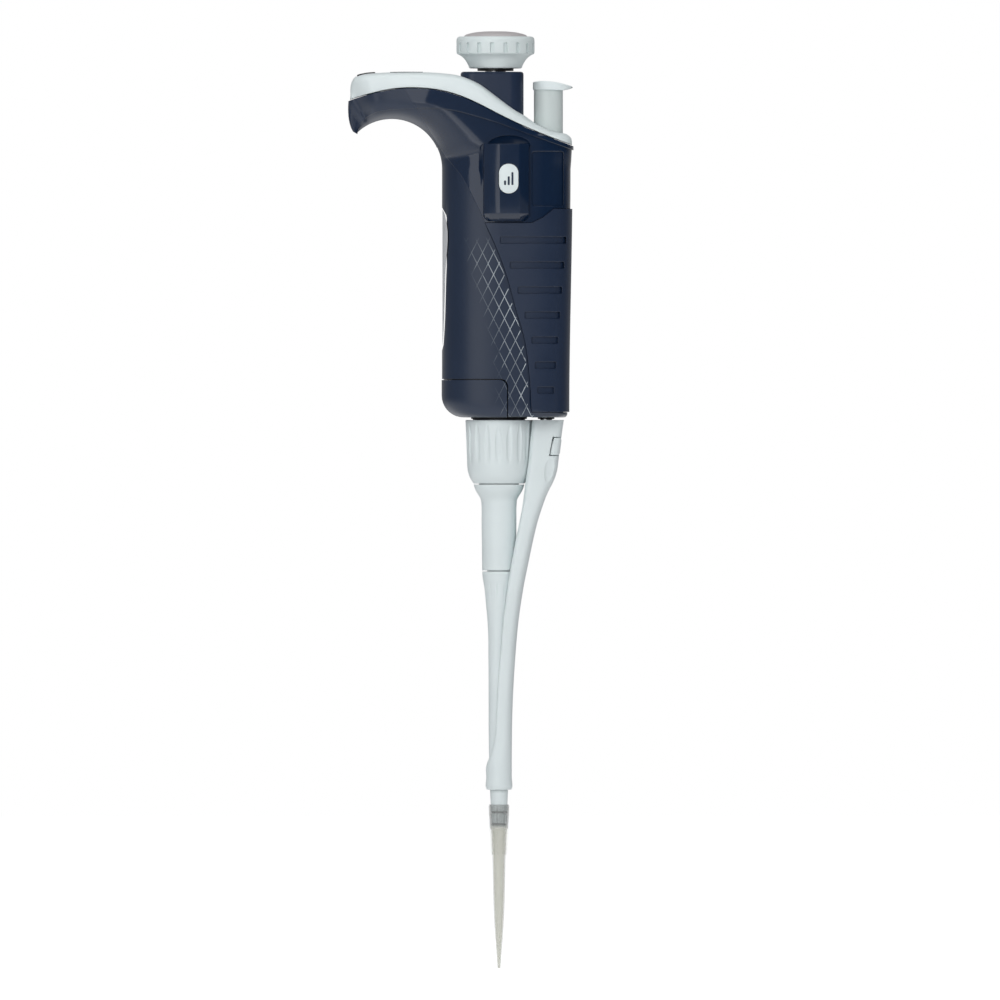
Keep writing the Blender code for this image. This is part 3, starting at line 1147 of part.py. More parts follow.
def bake_parts():
    """Give every meshed part the mesh that its modifiers make, with facets that lie in one plane merged
    and its round faces shaded smooth."""
    graph = bpy.context.evaluated_depsgraph_get()
    meshed = [part for part in PARTS.objects if part.type == "MESH"]
    baked = {part: bpy.data.meshes.new_from_object(part.evaluated_get(graph)) for part in meshed}
    for part, mesh in baked.items():
        build = bmesh.new()
        build.from_mesh(mesh)
        bmesh.ops.dissolve_limit(build, angle_limit=radians(FLAT_ANGLE), verts=build.verts,
                                 edges=build.edges)
        bmesh.ops.triangulate(build, faces=build.faces)
        build.to_mesh(mesh)
        build.free()
        part.modifiers.clear()
        part.data = mesh
        mesh.name = part.name
        mesh.shade_smooth()
        mesh.set_sharp_from_angle(angle=radians(SHARP_ANGLE))


bake_parts()
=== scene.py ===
# %% [markdown]
# # Electronic pipette, dressed for a studio picture
#
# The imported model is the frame: every body, joint and size comes from it. This lesson gives each visible
# piece of it a finer form and a finish. Lengths are written in millimetres in the handle's own frame:
# x = 0 is the pipetting axis, z = 0 is the bottom of the handle, +X runs towards the ejector at the back
# and -Y is the near side.

# %% Load the frame
import bpy
import json
from math import atan2, copysign, cos, pi, radians, sin, sqrt
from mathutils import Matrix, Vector

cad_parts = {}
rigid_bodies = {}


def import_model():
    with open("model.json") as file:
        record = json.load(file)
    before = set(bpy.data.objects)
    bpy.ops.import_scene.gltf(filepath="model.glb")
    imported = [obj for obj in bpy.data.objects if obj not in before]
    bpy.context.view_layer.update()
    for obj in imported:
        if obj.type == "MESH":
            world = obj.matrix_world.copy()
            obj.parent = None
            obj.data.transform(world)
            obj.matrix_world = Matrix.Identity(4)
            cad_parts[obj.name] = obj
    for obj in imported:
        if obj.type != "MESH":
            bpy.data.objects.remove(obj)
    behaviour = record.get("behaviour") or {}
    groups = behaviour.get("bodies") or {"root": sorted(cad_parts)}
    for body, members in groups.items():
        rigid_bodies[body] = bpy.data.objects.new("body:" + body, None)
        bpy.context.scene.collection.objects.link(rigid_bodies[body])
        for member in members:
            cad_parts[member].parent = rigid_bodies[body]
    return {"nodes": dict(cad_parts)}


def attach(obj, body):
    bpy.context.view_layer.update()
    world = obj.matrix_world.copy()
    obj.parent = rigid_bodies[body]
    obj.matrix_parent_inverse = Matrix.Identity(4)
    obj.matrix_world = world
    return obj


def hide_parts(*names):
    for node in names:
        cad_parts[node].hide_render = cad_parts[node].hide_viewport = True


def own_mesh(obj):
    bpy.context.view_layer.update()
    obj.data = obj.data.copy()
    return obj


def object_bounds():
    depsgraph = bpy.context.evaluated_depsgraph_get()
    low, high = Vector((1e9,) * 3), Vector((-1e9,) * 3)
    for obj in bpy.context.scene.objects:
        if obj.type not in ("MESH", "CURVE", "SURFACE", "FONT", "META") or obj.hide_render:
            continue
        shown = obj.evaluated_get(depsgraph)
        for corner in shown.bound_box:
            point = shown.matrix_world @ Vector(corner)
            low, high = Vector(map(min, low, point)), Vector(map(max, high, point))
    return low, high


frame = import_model()
cad_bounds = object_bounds()
nodes = frame["nodes"]
print("nodes:", len(nodes))

# %% [markdown]
# A helper turns a place in the handle's frame into a place in the world. The world origin is the crown of
# the finger hook's underside, where the pipette hangs on its stand, so the two frames differ by one shift.

# %% The handle's frame
MM = 0.001
SHIFT_X = 33.3
SHIFT_Z = -92.5


def at(x, y, z):
    """A place in the handle's frame, in millimetres, as a world place in metres."""
    return Vector(((x + SHIFT_X) * MM, y * MM, (z + SHIFT_Z) * MM))


print("foot of the handle in the world:", at(0.0, 0.0, 0.0))

# %% [markdown]
# Node trees read more easily as formulas. Each of these helpers adds one node, links or sets its inputs and
# gives back its output, so that one call can stand inside another.

# %% Node helpers
WHITE = (1.0, 1.0, 1.0)


def set_input(tree, socket, value):
    """Link an input to the output of another node, or set it to a value."""
    if isinstance(value, bpy.types.NodeSocket):
        tree.links.new(value, socket)
    else:
        socket.default_value = value


def math_node(tree, operation, *values, clamp=False):
    """A sum, product or comparison of numbers."""
    node = tree.nodes.new("ShaderNodeMath")
    node.operation = operation
    node.use_clamp = clamp
    for socket, value in zip(node.inputs, values):
        set_input(tree, socket, value)
    return node.outputs[0]


def range_node(tree, value, from_low, from_high, to_low, to_high):
    """One range of a value mapped to another, which it doesn't leave."""
    node = tree.nodes.new("ShaderNodeMapRange")
    for name, given in (("Value", value), ("From Min", from_low), ("From Max", from_high),
                        ("To Min", to_low), ("To Max", to_high)):
        set_input(tree, node.inputs[name], given)
    return node.outputs["Result"]


def mix_node(tree, share, first, second):
    """A mix of two colours."""
    node = tree.nodes.new("ShaderNodeMix")
    node.data_type = "RGBA"
    set_input(tree, node.inputs["Factor"], share)
    for name, colour in (("A", first), ("B", second)):
        given = colour if isinstance(colour, bpy.types.NodeSocket) else (*colour, 1.0)
        set_input(tree, node.inputs[name], given)
    return node.outputs["Result"]


def noise_node(tree, place, scale, detail):
    """Smooth noise at a place."""
    node = tree.nodes.new("ShaderNodeTexNoise")
    node.inputs["Scale"].default_value = scale
    node.inputs["Detail"].default_value = detail
    tree.links.new(place, node.inputs["Vector"])
    return node.outputs["Fac"]


print("node helpers ready")

# %% [markdown]
# ## The studio
#
# The photograph looks level at the near side from far away, so a long lens on a distant camera gives the
# same flat drawing. The backdrop is white to the camera. A large soft key above the camera shapes the white
# plastic, a tall panel at the front left draws the light bands on the navy gloss, and weaker ones at the
# right and above fill the shade. The key and the right panel are hidden from gloss, as a polarising filter
# hides a lamp in a real studio, so that only the left panel and the one above are mirrored.

# %% Camera
CAMERA_DISTANCE = 12.0
VIEW_CENTRE = (0.0336, -0.1181)
VIEW_WIDTH = 0.310

camera_data = bpy.data.cameras.new("studio_camera")
camera_data.sensor_width = 36.0
camera_data.lens = camera_data.sensor_width * CAMERA_DISTANCE / VIEW_WIDTH
camera_data.clip_end = 60.0
camera = bpy.data.objects.new("studio_camera", camera_data)
camera.location = (VIEW_CENTRE[0], -CAMERA_DISTANCE, VIEW_CENTRE[1])
camera.rotation_euler = (radians(90), 0.0, 0.0)
bpy.context.scene.collection.objects.link(camera)
bpy.context.scene.camera = camera
bpy.context.scene.view_settings.view_transform = "Standard"
print("lens in mm:", round(camera_data.lens, 1))


# %% Soft panels
def soft_panel(name, place, target, width, height, power, mirrored=True):
    """A rectangular soft light aimed at a point, which gloss may mirror or not."""
    lamp = bpy.data.lights.new(name, "AREA")
    lamp.shape = "RECTANGLE"
    lamp.size = width
    lamp.size_y = height
    lamp.energy = power
    panel = bpy.data.objects.new(name, lamp)
    panel.location = place
    panel.rotation_euler = (Vector(target) - Vector(place)).to_track_quat("-Z", "Y").to_euler()
    panel.visible_glossy = mirrored
    bpy.context.scene.collection.objects.link(panel)
    return panel


middle = (VIEW_CENTRE[0], 0.0, VIEW_CENTRE[1])
soft_panel("key_panel", (-0.24, -1.53, 0.78), middle, 1.6, 1.0, 9.5, mirrored=False)
soft_panel("left_panel", (-0.406, -1.117, -0.10), middle, 0.71, 1.5, 4.3)
soft_panel("right_panel", (1.3, -0.9, 0.1), middle, 0.5, 1.2, 2.2, mirrored=False)
soft_panel("top_panel", (0.0, -0.1, 1.2), middle, 1.0, 0.8, 3.4)
print("four soft panels")

# %% [markdown]
# The world gives a low even light, and the camera sees it white. Rays that bounce off gloss see a dim room
# in front, darker to the right, and a paler backdrop behind.

# %% World
LOW_LIGHT = (0.33, 0.34, 0.35)

world = bpy.data.worlds.new("studio_world")
bpy.context.scene.world = world
world.use_nodes = True
tree = world.node_tree
light_path = tree.nodes.new("ShaderNodeLightPath")
direction = tree.nodes.new("ShaderNodeTexCoord")
split = tree.nodes.new("ShaderNodeSeparateXYZ")
tree.links.new(direction.outputs["Generated"], split.inputs["Vector"])
front_room = range_node(tree, split.outputs["X"], -0.05, 0.30, 0.26, 0.04)
backdrop = range_node(tree, split.outputs["Y"], 0.1, 0.9, 0.0, 0.25)
low_light = mix_node(tree, light_path.outputs["Is Glossy Ray"], LOW_LIGHT, front_room)
mirrored = math_node(tree, "MULTIPLY", backdrop, light_path.outputs["Is Glossy Ray"])
seen = math_node(tree, "MAXIMUM", light_path.outputs["Is Camera Ray"], mirrored)
tree.links.new(mix_node(tree, seen, low_light, WHITE), tree.nodes["Background"].inputs["Color"])
print("world ready")

# %% [markdown]
# The floor lies just under the tip. It is a plain pale sheet that adds enough of its own white to camera
# rays to meet the backdrop without a line, and that still keeps the soft shadow of the object. Near the
# object a pool of glow is painted on it that only gloss sees, a painted pool of light which gives the
# downward roundings of the navy plastic their pale edge.

# %% Floor
FLOOR_SIZE = 12.0
FLOOR_DROP = 0.002
FLOOR_GLOW = 0.75
POOL_INNER_RADIUS = 0.3
POOL_OUTER_RADIUS = 0.9

bpy.ops.object.select_all(action="DESELECT")
bpy.ops.mesh.primitive_plane_add(size=FLOOR_SIZE, location=(0.0, 0.0, cad_bounds[0][2] - FLOOR_DROP))
floor = bpy.context.object
floor.name = "studio_floor"
floor_paint = bpy.data.materials.new("floor_paper")
floor_paint.use_nodes = True
tree = floor_paint.node_tree
shader = tree.nodes["Principled BSDF"]
shader.inputs["Base Color"].default_value = (0.82, 0.82, 0.82, 1.0)
shader.inputs["Roughness"].default_value = 0.9
shader.inputs["Emission Color"].default_value = (*WHITE, 1.0)
light_path = tree.nodes.new("ShaderNodeLightPath")
place = tree.nodes.new("ShaderNodeTexCoord")
away = tree.nodes.new("ShaderNodeVectorMath")
away.operation = "LENGTH"
tree.links.new(place.outputs["Object"], away.inputs[0])
# Painted light: a pool of glow on the floor near the object, which only gloss sees.
glow_pool = range_node(tree, away.outputs["Value"], POOL_INNER_RADIUS, POOL_OUTER_RADIUS, 1.0, 0.0)
mirrored_pool = math_node(tree, "MULTIPLY", glow_pool, light_path.outputs["Is Glossy Ray"])
seen = math_node(tree, "MAXIMUM", light_path.outputs["Is Camera Ray"], mirrored_pool)
tree.links.new(math_node(tree, "MULTIPLY", seen, FLOOR_GLOW), shader.inputs["Emission Strength"])
floor.data.materials.append(floor_paint)
print("floor at", round(floor.location.z, 4))

# %% [markdown]
# ## Helpers for modelling
#
# Operators act on all that is selected, so one piece is taken at a time. A tool that has cut a piece is
# taken away, and a finished piece is smoothed, rides on its body and stands for its CAD nodes.

# %% Take one piece at a time
def take(piece):
    """Make one object the only selected one, and the active one."""
    bpy.ops.object.select_all(action="DESELECT")
    piece.select_set(True)
    bpy.context.view_layer.objects.active = piece
    return piece


def carve(piece, tool, operation="DIFFERENCE", keep_tool=False):
    """Cut, keep or fuse a piece with a tool, and apply it."""
    take(piece)
    step = piece.modifiers.new("carve", "BOOLEAN")
    step.operation = operation
    step.object = tool
    step.solver = "EXACT"
    bpy.ops.object.modifier_apply(modifier=step.name)
    if not keep_tool:
        bpy.data.objects.remove(tool, do_unlink=True)
    return piece


def turn_faces_out(piece):
    """Make all faces of a closed piece look outwards."""
    take(piece)
    bpy.ops.object.mode_set(mode="EDIT")
    bpy.ops.mesh.select_all(action="SELECT")
    bpy.ops.mesh.normals_make_consistent(inside=False)
    bpy.ops.object.mode_set(mode="OBJECT")
    return piece


def set_round(piece, count, first_turn, axis_x=0.0):
    """Turn a piece about a vertical axis by some degrees, and repeat it evenly round that axis."""
    take(piece)
    centre = at(axis_x, 0.0, 0.0)
    bpy.ops.object.mode_set(mode="EDIT")
    bpy.ops.mesh.select_all(action="SELECT")
    bpy.ops.transform.rotate(value=radians(first_turn), orient_axis="Z", center_override=centre)
    for k in range(1, count):
        bpy.ops.mesh.duplicate()
        bpy.ops.transform.rotate(value=2 * pi / count, orient_axis="Z", center_override=centre)
    bpy.ops.object.mode_set(mode="OBJECT")
    return piece


def copy_of(piece, name):
    """A copy with its own mesh."""
    made = piece.copy()
    made.data = piece.data.copy()
    made.name = name
    bpy.context.scene.collection.objects.link(made)
    return made


def finish_piece(piece, finish, body, *cad_nodes, angle=32):
    """Smooth a piece up to an angle, give it its finish, and let it ride in place of its CAD nodes."""
    take(piece)
    piece.data.materials.clear()
    piece.data.materials.append(finish)
    bpy.ops.object.shade_smooth_by_angle(angle=radians(angle))
    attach(piece, body)
    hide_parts(*cad_nodes)
    print(piece.name, len(piece.data.polygons), "faces")
    return piece


# %% [markdown]
# Three ways of making a blank cover this whole object. A lathe blank is an outline that is spun round a
# vertical axis. A prism blank is a flat outline with a thickness. A skin blank is a cylinder with as many
# rings as the form has sections, each ring pulled to its own section, which is how a loft is made by hand.

# %% Lathe blank
ON_AXIS = 1e-7


def lathe(name, profile, axis_x=0.0, steps=96):
    """Spin an outline of (radius, height) points round a vertical axis."""
    bpy.ops.object.select_all(action="DESELECT")
    bpy.ops.mesh.primitive_circle_add(vertices=len(profile), radius=1.0, location=(0.0, 0.0, 0.0))
    piece = bpy.context.object
    piece.name = name
    for point, (radius, height) in zip(piece.data.vertices, profile):
        point.co = at(axis_x + radius, 0.0, height)
    centre = at(axis_x, 0.0, 0.0)
    for edge in piece.data.edges:
        ends = [piece.data.vertices[index].co.x - centre.x for index in edge.vertices]
        edge.select = max(ends) < ON_AXIS
    for point in piece.data.vertices:
        point.select = False
    bpy.ops.object.mode_set(mode="EDIT")
    bpy.ops.mesh.select_mode(type="EDGE")
    if any(radius == 0.0 for radius, height in profile):
        bpy.ops.mesh.delete(type="EDGE")
    bpy.ops.mesh.select_all(action="SELECT")
    bpy.ops.mesh.spin(steps=steps, angle=2 * pi, center=centre, axis=(0.0, 0.0, 1.0))
    bpy.ops.mesh.select_all(action="SELECT")
    bpy.ops.mesh.remove_doubles(threshold=1e-6)
    bpy.ops.object.mode_set(mode="OBJECT")
    return turn_faces_out(piece)


def bore(name, radius, low, high, axis_x=0.0, steps=96):
    """A plain upright cylinder, the tool for a round hole."""
    return lathe(name, [(0.0, high), (radius, high), (radius, low), (0.0, low)], axis_x, steps)


# %% Prism blank
def prism(name, outline, low, high, plane="side"):
    """Give a flat outline a thickness: along Y for a side view, along Z for a plan view."""
    bpy.ops.object.select_all(action="DESELECT")
    bpy.ops.mesh.primitive_circle_add(vertices=len(outline), radius=1.0, fill_type="NGON",
                                      location=(0.0, 0.0, 0.0))
    piece = bpy.context.object
    piece.name = name
    for point, (first, second) in zip(piece.data.vertices, outline):
        point.co = at(first, low, second) if plane == "side" else at(first, second, low)
    rise = (high - low) * MM
    way = (0.0, rise, 0.0) if plane == "side" else (0.0, 0.0, rise)
    bpy.ops.object.mode_set(mode="EDIT")
    bpy.ops.mesh.select_all(action="SELECT")
    bpy.ops.mesh.extrude_region_move(TRANSFORM_OT_translate={"value": way})
    bpy.ops.object.mode_set(mode="OBJECT")
    return turn_faces_out(piece)


# %% Skin blank
def skin(name, rings):
    """Pull the rings of a subdivided cylinder to a row of sections with equal numbers of points."""
    around = len(rings[0])
    bpy.ops.object.select_all(action="DESELECT")
    bpy.ops.mesh.primitive_cylinder_add(vertices=around, radius=1.0, depth=2.0, location=(0.0, 0.0, 0.0))
    piece = bpy.context.object
    piece.name = name
    mesh = piece.data
    bpy.ops.object.mode_set(mode="EDIT")
    bpy.ops.mesh.select_mode(type="EDGE")
    bpy.ops.mesh.select_all(action="DESELECT")
    bpy.ops.object.mode_set(mode="OBJECT")
    for edge in mesh.edges:
        ends = [mesh.vertices[index].co.z for index in edge.vertices]
        edge.select = abs(ends[0] - ends[1]) > 1.0
    bpy.ops.object.mode_set(mode="EDIT")
    bpy.ops.mesh.subdivide(number_cuts=len(rings) - 2)
    bpy.ops.object.mode_set(mode="OBJECT")
    for point in mesh.vertices:
        row = round((point.co.z + 1.0) / 2.0 * (len(rings) - 1))
        column = round(atan2(point.co.y, point.co.x) / (2 * pi) * around) % around
        point.co = rings[row][column]
    return turn_faces_out(piece)


# %% Dents
def scoop(name, centre, reach):
    """A squashed ball, the tool for a dent that a finger or a nail fits into."""
    bpy.ops.object.select_all(action="DESELECT")
    bpy.ops.mesh.primitive_uv_sphere_add(segments=64, ring_count=32, radius=1.0, location=(0.0, 0.0, 0.0))
    piece = bpy.context.object
    piece.name = name
    for point in piece.data.vertices:
        point.co = at(*(middle_value + value * half
                        for middle_value, value, half in zip(centre, point.co, reach)))
    return piece


# %% [markdown]
# Outlines read off the photograph are rows of a few points. A smooth curve through them keeps the gloss
# clean, because a reflection shows every corner of an outline. Each point gets the slope of its neighbours
# weighed by distance, which is the usual way to draw a fair curve through uneven points.

# %% Fair curve
def fair_curve(points, count):
    """Evenly spaced points on a smooth curve through a row of points of any number of values."""
    spots = [Vector(point) for point in points]
    gaps = [max((after.xy - before.xy).length, 1e-6) for before, after in zip(spots, spots[1:])]
    slopes = [(after - before) / gap for before, after, gap in zip(spots, spots[1:], gaps)]
    tangents = [slopes[0]]
    for k in range(1, len(slopes)):
        tangents.append((slopes[k - 1] * gaps[k] + slopes[k] * gaps[k - 1]) / (gaps[k - 1] + gaps[k]))
    tangents.append(slopes[-1])
    total = sum(gaps)
    curve = []
    for step in range(count):
        run = total * step / (count - 1)
        piece = 0
        while piece < len(gaps) - 1 and run > gaps[piece]:
            run -= gaps[piece]
            piece += 1
        gap = gaps[piece]
        share = min(run / gap, 1.0)
        start_weight = 2 * share ** 3 - 3 * share ** 2 + 1
        curve.append(spots[piece] * start_weight + spots[piece + 1] * (1 - start_weight)
                     + tangents[piece] * gap * (share ** 3 - 2 * share ** 2 + share)
                     + tangents[piece + 1] * gap * (share ** 3 - share ** 2))
    return curve


def flat_curve(points, count):
    """A smooth curve through points of two values, as a row of pairs."""
    return [(spot.x, spot.y) for spot in fair_curve(points, count)]


def rounded_box_outline(low_a, low_b, high_a, high_b, radius, steps=8):
    """A rectangle outline with round corners."""
    corners = [(high_a - radius, high_b - radius, 0), (low_a + radius, high_b - radius, 90),
               (low_a + radius, low_b + radius, 180), (high_a - radius, low_b + radius, 270)]
    points = []
    for centre_a, centre_b, start in corners:
        for step in range(steps + 1):
            turn = radians(start + 90 * step / steps)
            points.append((centre_a + radius * cos(turn), centre_b + radius * sin(turn)))
    return points


print("helpers ready")

# %% [markdown]
# ## Finishes
#
# Every finish starts from the Principled shader. Moulded plastic is never perfectly even: its gloss wanders
# a little from thicker to thinner walls, its skin carries a very fine grain from the tool, and its edges
# are rounded by a quarter of a millimetre. So one helper lays these three over any plastic: slow noise on
# the roughness and the tone, fine noise as a bump, and the Bevel node, which rounds edges in shading alone.

# %% Moulded plastic
SLOW_SCALE = 60.0
GRAIN_HEIGHT = 0.1


def moulded_plastic(name, colour, roughness, grain=0.02, grain_scale=2600.0, wander=0.04, edge=0.25,
                    tone=0.05):
    """A procedural moulded plastic, ready for more nodes to be laid over its colour."""
    finish = bpy.data.materials.new(name)
    finish.use_nodes = True
    tree = finish.node_tree
    shader = tree.nodes["Principled BSDF"]
    place = tree.nodes.new("ShaderNodeTexCoord").outputs["Object"]
    slow = noise_node(tree, place, SLOW_SCALE, 3.0)
    gloss = range_node(tree, slow, 0.3, 0.7, roughness - wander, roughness + wander)
    tree.links.new(gloss, shader.inputs["Roughness"])
    darker = [value * (1.0 - tone) for value in colour]
    lighter = [min(value * (1.0 + tone), 1.0) for value in colour]
    tree.links.new(mix_node(tree, slow, darker, lighter), shader.inputs["Base Color"])
    rounding = tree.nodes.new("ShaderNodeBevel")
    rounding.samples = 6
    rounding.inputs["Radius"].default_value = edge * MM
    bump = tree.nodes.new("ShaderNodeBump")
    bump.inputs["Strength"].default_value = grain
    bump.inputs["Distance"].default_value = GRAIN_HEIGHT * MM
    tree.links.new(noise_node(tree, place, grain_scale, 2.0), bump.inputs["Height"])
    tree.links.new(rounding.outputs["Normal"], bump.inputs["Normal"])
    tree.links.new(bump.outputs["Normal"], shader.inputs["Normal"])
    return finish


# %% [markdown]
# The navy of the handle is a dark blue with a high gloss: nearly all that is seen of it is what it
# reflects. Its colour is therefore kept low, and the soft panel draws the lighter bands. The rear grip has
# the same colour with a satin grain. The white of the cover, nut, barrel and arm is a cool white.

# %% Plastics of the outside
NAVY = (0.0060, 0.0170, 0.0440)
GLOSS_ROUGHNESS = 0.09

navy_gloss = moulded_plastic("navy_gloss_plastic", NAVY, GLOSS_ROUGHNESS, grain=0.01, wander=0.02)
navy_satin = moulded_plastic("navy_satin_plastic", (0.0085, 0.0200, 0.0500), 0.36, grain=0.05)
cool_white = moulded_plastic("cool_white_plastic", (0.785, 0.855, 0.86), 0.38, grain=0.02)
panel_grey = moulded_plastic("panel_grey_plastic", (0.58, 0.59, 0.61), 0.45, grain=0.04)
knob_grey = moulded_plastic("knob_grey_plastic", (0.73, 0.80, 0.80), 0.42)
# Painted shade: the button's stem is a darker grey than its cool white cap, for the shadow under the cap.
stem_shade_grey = moulded_plastic("stem_grey_plastic", (0.62, 0.68, 0.67), 0.34, grain=0.02)
knob_rose = moulded_plastic("knob_cap_plastic", (0.52, 0.485, 0.49), 0.48, grain=0.05)
black_plastic = moulded_plastic("black_plastic", (0.018, 0.018, 0.020), 0.35)
print("plastics ready")

# %% [markdown]
# The shells carry two skins in one moulding: behind and above a diagonal crease the tool is polished, and
# in front of it the skin is satin. The border is drawn as a curve of x over z, so the same nodes serve both
# sides. It follows the edge of the grip and then the crease. A plain diamond lattice of thin pale lines is
# printed on the satin skin along the grip. It is drawn by two families of parallel lines, as wire netting
# is, and it fades away from the grip.

# %% Two-skin navy with its print
GRIP_EDGE = [(-4.3, 60.2), (-1.2, 53.5), (2.3, 44.2), (5.3, 33.3), (7.75, 25.0), (9.5, 11.9), (10.1, 1.7)]
BORDER = [(14.5, 0.0), *reversed(GRIP_EDGE), (-5.6, 63.1), (-10.85, 73.6), (-17.05, 81.7), (-18.5, 84.0)]
BORDER_LOW_X = -20.0
BORDER_SPAN_X = 40.0
BORDER_SPAN_Z = 90.0
DIAMOND_WIDTH = 3.4
DIAMOND_SLOPE = 0.5
LINE_WIDTH = 0.24
PRINT_GREY = (0.60, 0.66, 0.70)
PRINT_STRENGTH = 0.9
PRINT_START = 0.7
PRINT_REACH = 11.0
PRINT_TOP_Z = 56.0
PRINT_TOP_FADE = 8.0
PATCH_SCALE = 190.0
SATIN_RISE = 8.0
SATIN_ROUGHER = 0.27


def side_view_places(tree):
    """Handle x and z in millimetres of the shaded point."""
    place = tree.nodes.new("ShaderNodeTexCoord")
    apart = tree.nodes.new("ShaderNodeSeparateXYZ")
    tree.links.new(place.outputs["Object"], apart.inputs[0])
    x = math_node(tree, "MULTIPLY_ADD", apart.outputs["X"], 1 / MM, -SHIFT_X)
    z = math_node(tree, "MULTIPLY_ADD", apart.outputs["Z"], 1 / MM, -SHIFT_Z)
    return x, z


def in_front_of_border(tree, x, z):
    """How far in front of the border of the two skins a point lies, in millimetres."""
    share = math_node(tree, "DIVIDE", z, BORDER_SPAN_Z)
    curve = tree.nodes.new("ShaderNodeFloatCurve")
    line = curve.mapping.curves[0]
    spots = [(height / BORDER_SPAN_Z, (edge - BORDER_LOW_X) / BORDER_SPAN_X) for edge, height in BORDER]
    line.points[0].location, line.points[1].location = spots[0], spots[-1]
    for height, edge in spots[1:-1]:
        line.points.new(height, edge)
    curve.mapping.update()
    tree.links.new(share, curve.inputs["Value"])
    edge_x = math_node(tree, "MULTIPLY_ADD", curve.outputs["Value"], BORDER_SPAN_X, BORDER_LOW_X)
    return math_node(tree, "SUBTRACT", edge_x, x)


def diamonds(tree, x, z):
    """Lines of a plain diamond lattice: two families of parallel lines that lean to either side."""
    lines = 0.0
    for lean in (-DIAMOND_SLOPE, DIAMOND_SLOPE):
        across = math_node(tree, "MULTIPLY_ADD", z, lean, x)
        near_line = math_node(tree, "PINGPONG", math_node(tree, "DIVIDE", across, DIAMOND_WIDTH), 0.5)
        stroke = math_node(tree, "LESS_THAN", near_line, LINE_WIDTH / 2 / DIAMOND_WIDTH)
        lines = math_node(tree, "MAXIMUM", lines, stroke)
    return lines


def printed_lattice(tree, x, z, ahead):
    """Strength of the printed lattice at a point, which is thinner in patches."""
    patches = tree.nodes.new("ShaderNodeTexVoronoi")
    patches.inputs["Scale"].default_value = PATCH_SCALE
    place = tree.nodes.new("ShaderNodeTexCoord")
    tree.links.new(place.outputs["Object"], patches.inputs["Vector"])
    patch = tree.nodes.new("ShaderNodeSeparateColor")
    tree.links.new(patches.outputs["Color"], patch.inputs[0])
    kept = math_node(tree, "MULTIPLY_ADD", patch.outputs["Red"], 1.5, 0.05, clamp=True)
    near_grip = math_node(tree, "SUBTRACT", 1.0, math_node(tree, "DIVIDE", ahead, PRINT_REACH), clamp=True)
    off_edge = math_node(tree, "GREATER_THAN", ahead, PRINT_START)
    under_top = math_node(tree, "SUBTRACT", PRINT_TOP_Z, z)
    low_enough = math_node(tree, "DIVIDE", under_top, PRINT_TOP_FADE, clamp=True)
    amount = math_node(tree, "MULTIPLY", diamonds(tree, x, z), kept)
    for share in (near_grip, off_edge, low_enough, PRINT_STRENGTH):
        amount = math_node(tree, "MULTIPLY", amount, share)
    return amount


navy_shell = moulded_plastic("navy_shell_plastic", NAVY, GLOSS_ROUGHNESS, grain=0.01, wander=0.02)
tree = navy_shell.node_tree
shader = tree.nodes["Principled BSDF"]
x, z = side_view_places(tree)
ahead = in_front_of_border(tree, x, z)
satin = math_node(tree, "MULTIPLY", ahead, SATIN_RISE, clamp=True)
polished = shader.inputs["Roughness"].links[0].from_socket
tree.links.new(math_node(tree, "MULTIPLY_ADD", satin, SATIN_ROUGHER, polished), shader.inputs["Roughness"])
bare = shader.inputs["Base Color"].links[0].from_socket
printed = mix_node(tree, printed_lattice(tree, x, z, ahead), bare, PRINT_GREY)
tree.links.new(printed, shader.inputs["Base Color"])
print("two-skin navy ready")

# %% [markdown]
# ## The handle's master form
#
# The two navy shells, the white cover, the grip, the front panel and the battery cover are all cut from one
# imagined form, grown or shrunk by their thickness, as a designer cuts a housing from one surface. Its
# sections fan out round the finger hook: each runs from the inner line, which is straight at the front and
# then an arc under the finger, to the outer line, which is the back and then the top. A section is a
# superellipse, round at the front and squarer at the back.

# %% Sizes of the handle
FRONT_X = -17.8
BACK_X = 22.2
BACK_X_FOOT = 21.2
FINGER_CENTRE = Vector((-33.3, 77.0))
FINGER_RADIUS = 15.5
HALF_DEPTH = 14.0
HOOK_HALF_DEPTH = 12.2
HOOK_NOSE_RADIUS = 7.6
NOSE_X = -46.3
FOOT_FRONT_RADIUS = 6.8
FOOT_BACK_RADIUS = 1.2
FOOT_SIDE_RADIUS = 1.6
WALL = 2.0
GAP = 0.3
AROUND = 96
FRONT_POWER = 2.6
BACK_POWER = 4.0
TOP_POWER = 6.0
FINGER_POWER = 2.5
HOOK_NARROWING = 20.0
TOP_FILLING = 34.0
SMALLEST_RADIUS = 0.3
LEAST_ADVANCE = 0.02
LEAST_THICKNESS = 0.7
BACK_STEPS = 8
HOOK_STEPS = 84
TOP_LINE = [(22.4, 79.5), (22.6, 84.6), (22.5, 86.3), (21.6, 87.4), (17.0, 88.5), (11.7, 90.9), (7.4, 93.9),
            (2.1, 97.6), (-2.2, 100.8), (-5.9, 103.4), (-12.4, 105.9), (-18.3, 106.7), (-26.8, 107.0),
            (-36.4, 106.8), (-42.3, 106.3), (-44.7, 105.5), (-45.7, 103.9), (-46.1, 99.5),
            (-46.3, 95.3), (-46.1, 92.6), (-45.4, 89.9), (-44.9, 88.9)]


# %% Sections of the handle
def eased(share):
    """A share from 0 to 1 that starts and ends softly."""
    share = min(max(share, 0.0), 1.0)
    return share * share * (3.0 - 2.0 * share)


def depth_at(x, grow):
    """Half depth of the handle along the hook, whose nose is round in plan."""
    narrowing = eased((FINGER_CENTRE.x + FINGER_RADIUS - x) / HOOK_NARROWING)
    depth = HALF_DEPTH + (HOOK_HALF_DEPTH - HALF_DEPTH) * narrowing
    past = NOSE_X + HOOK_NOSE_RADIUS - x
    if past > 0.0:
        depth -= HOOK_NOSE_RADIUS - sqrt(max(HOOK_NOSE_RADIUS ** 2 - past ** 2, 0.0))
    return depth + grow


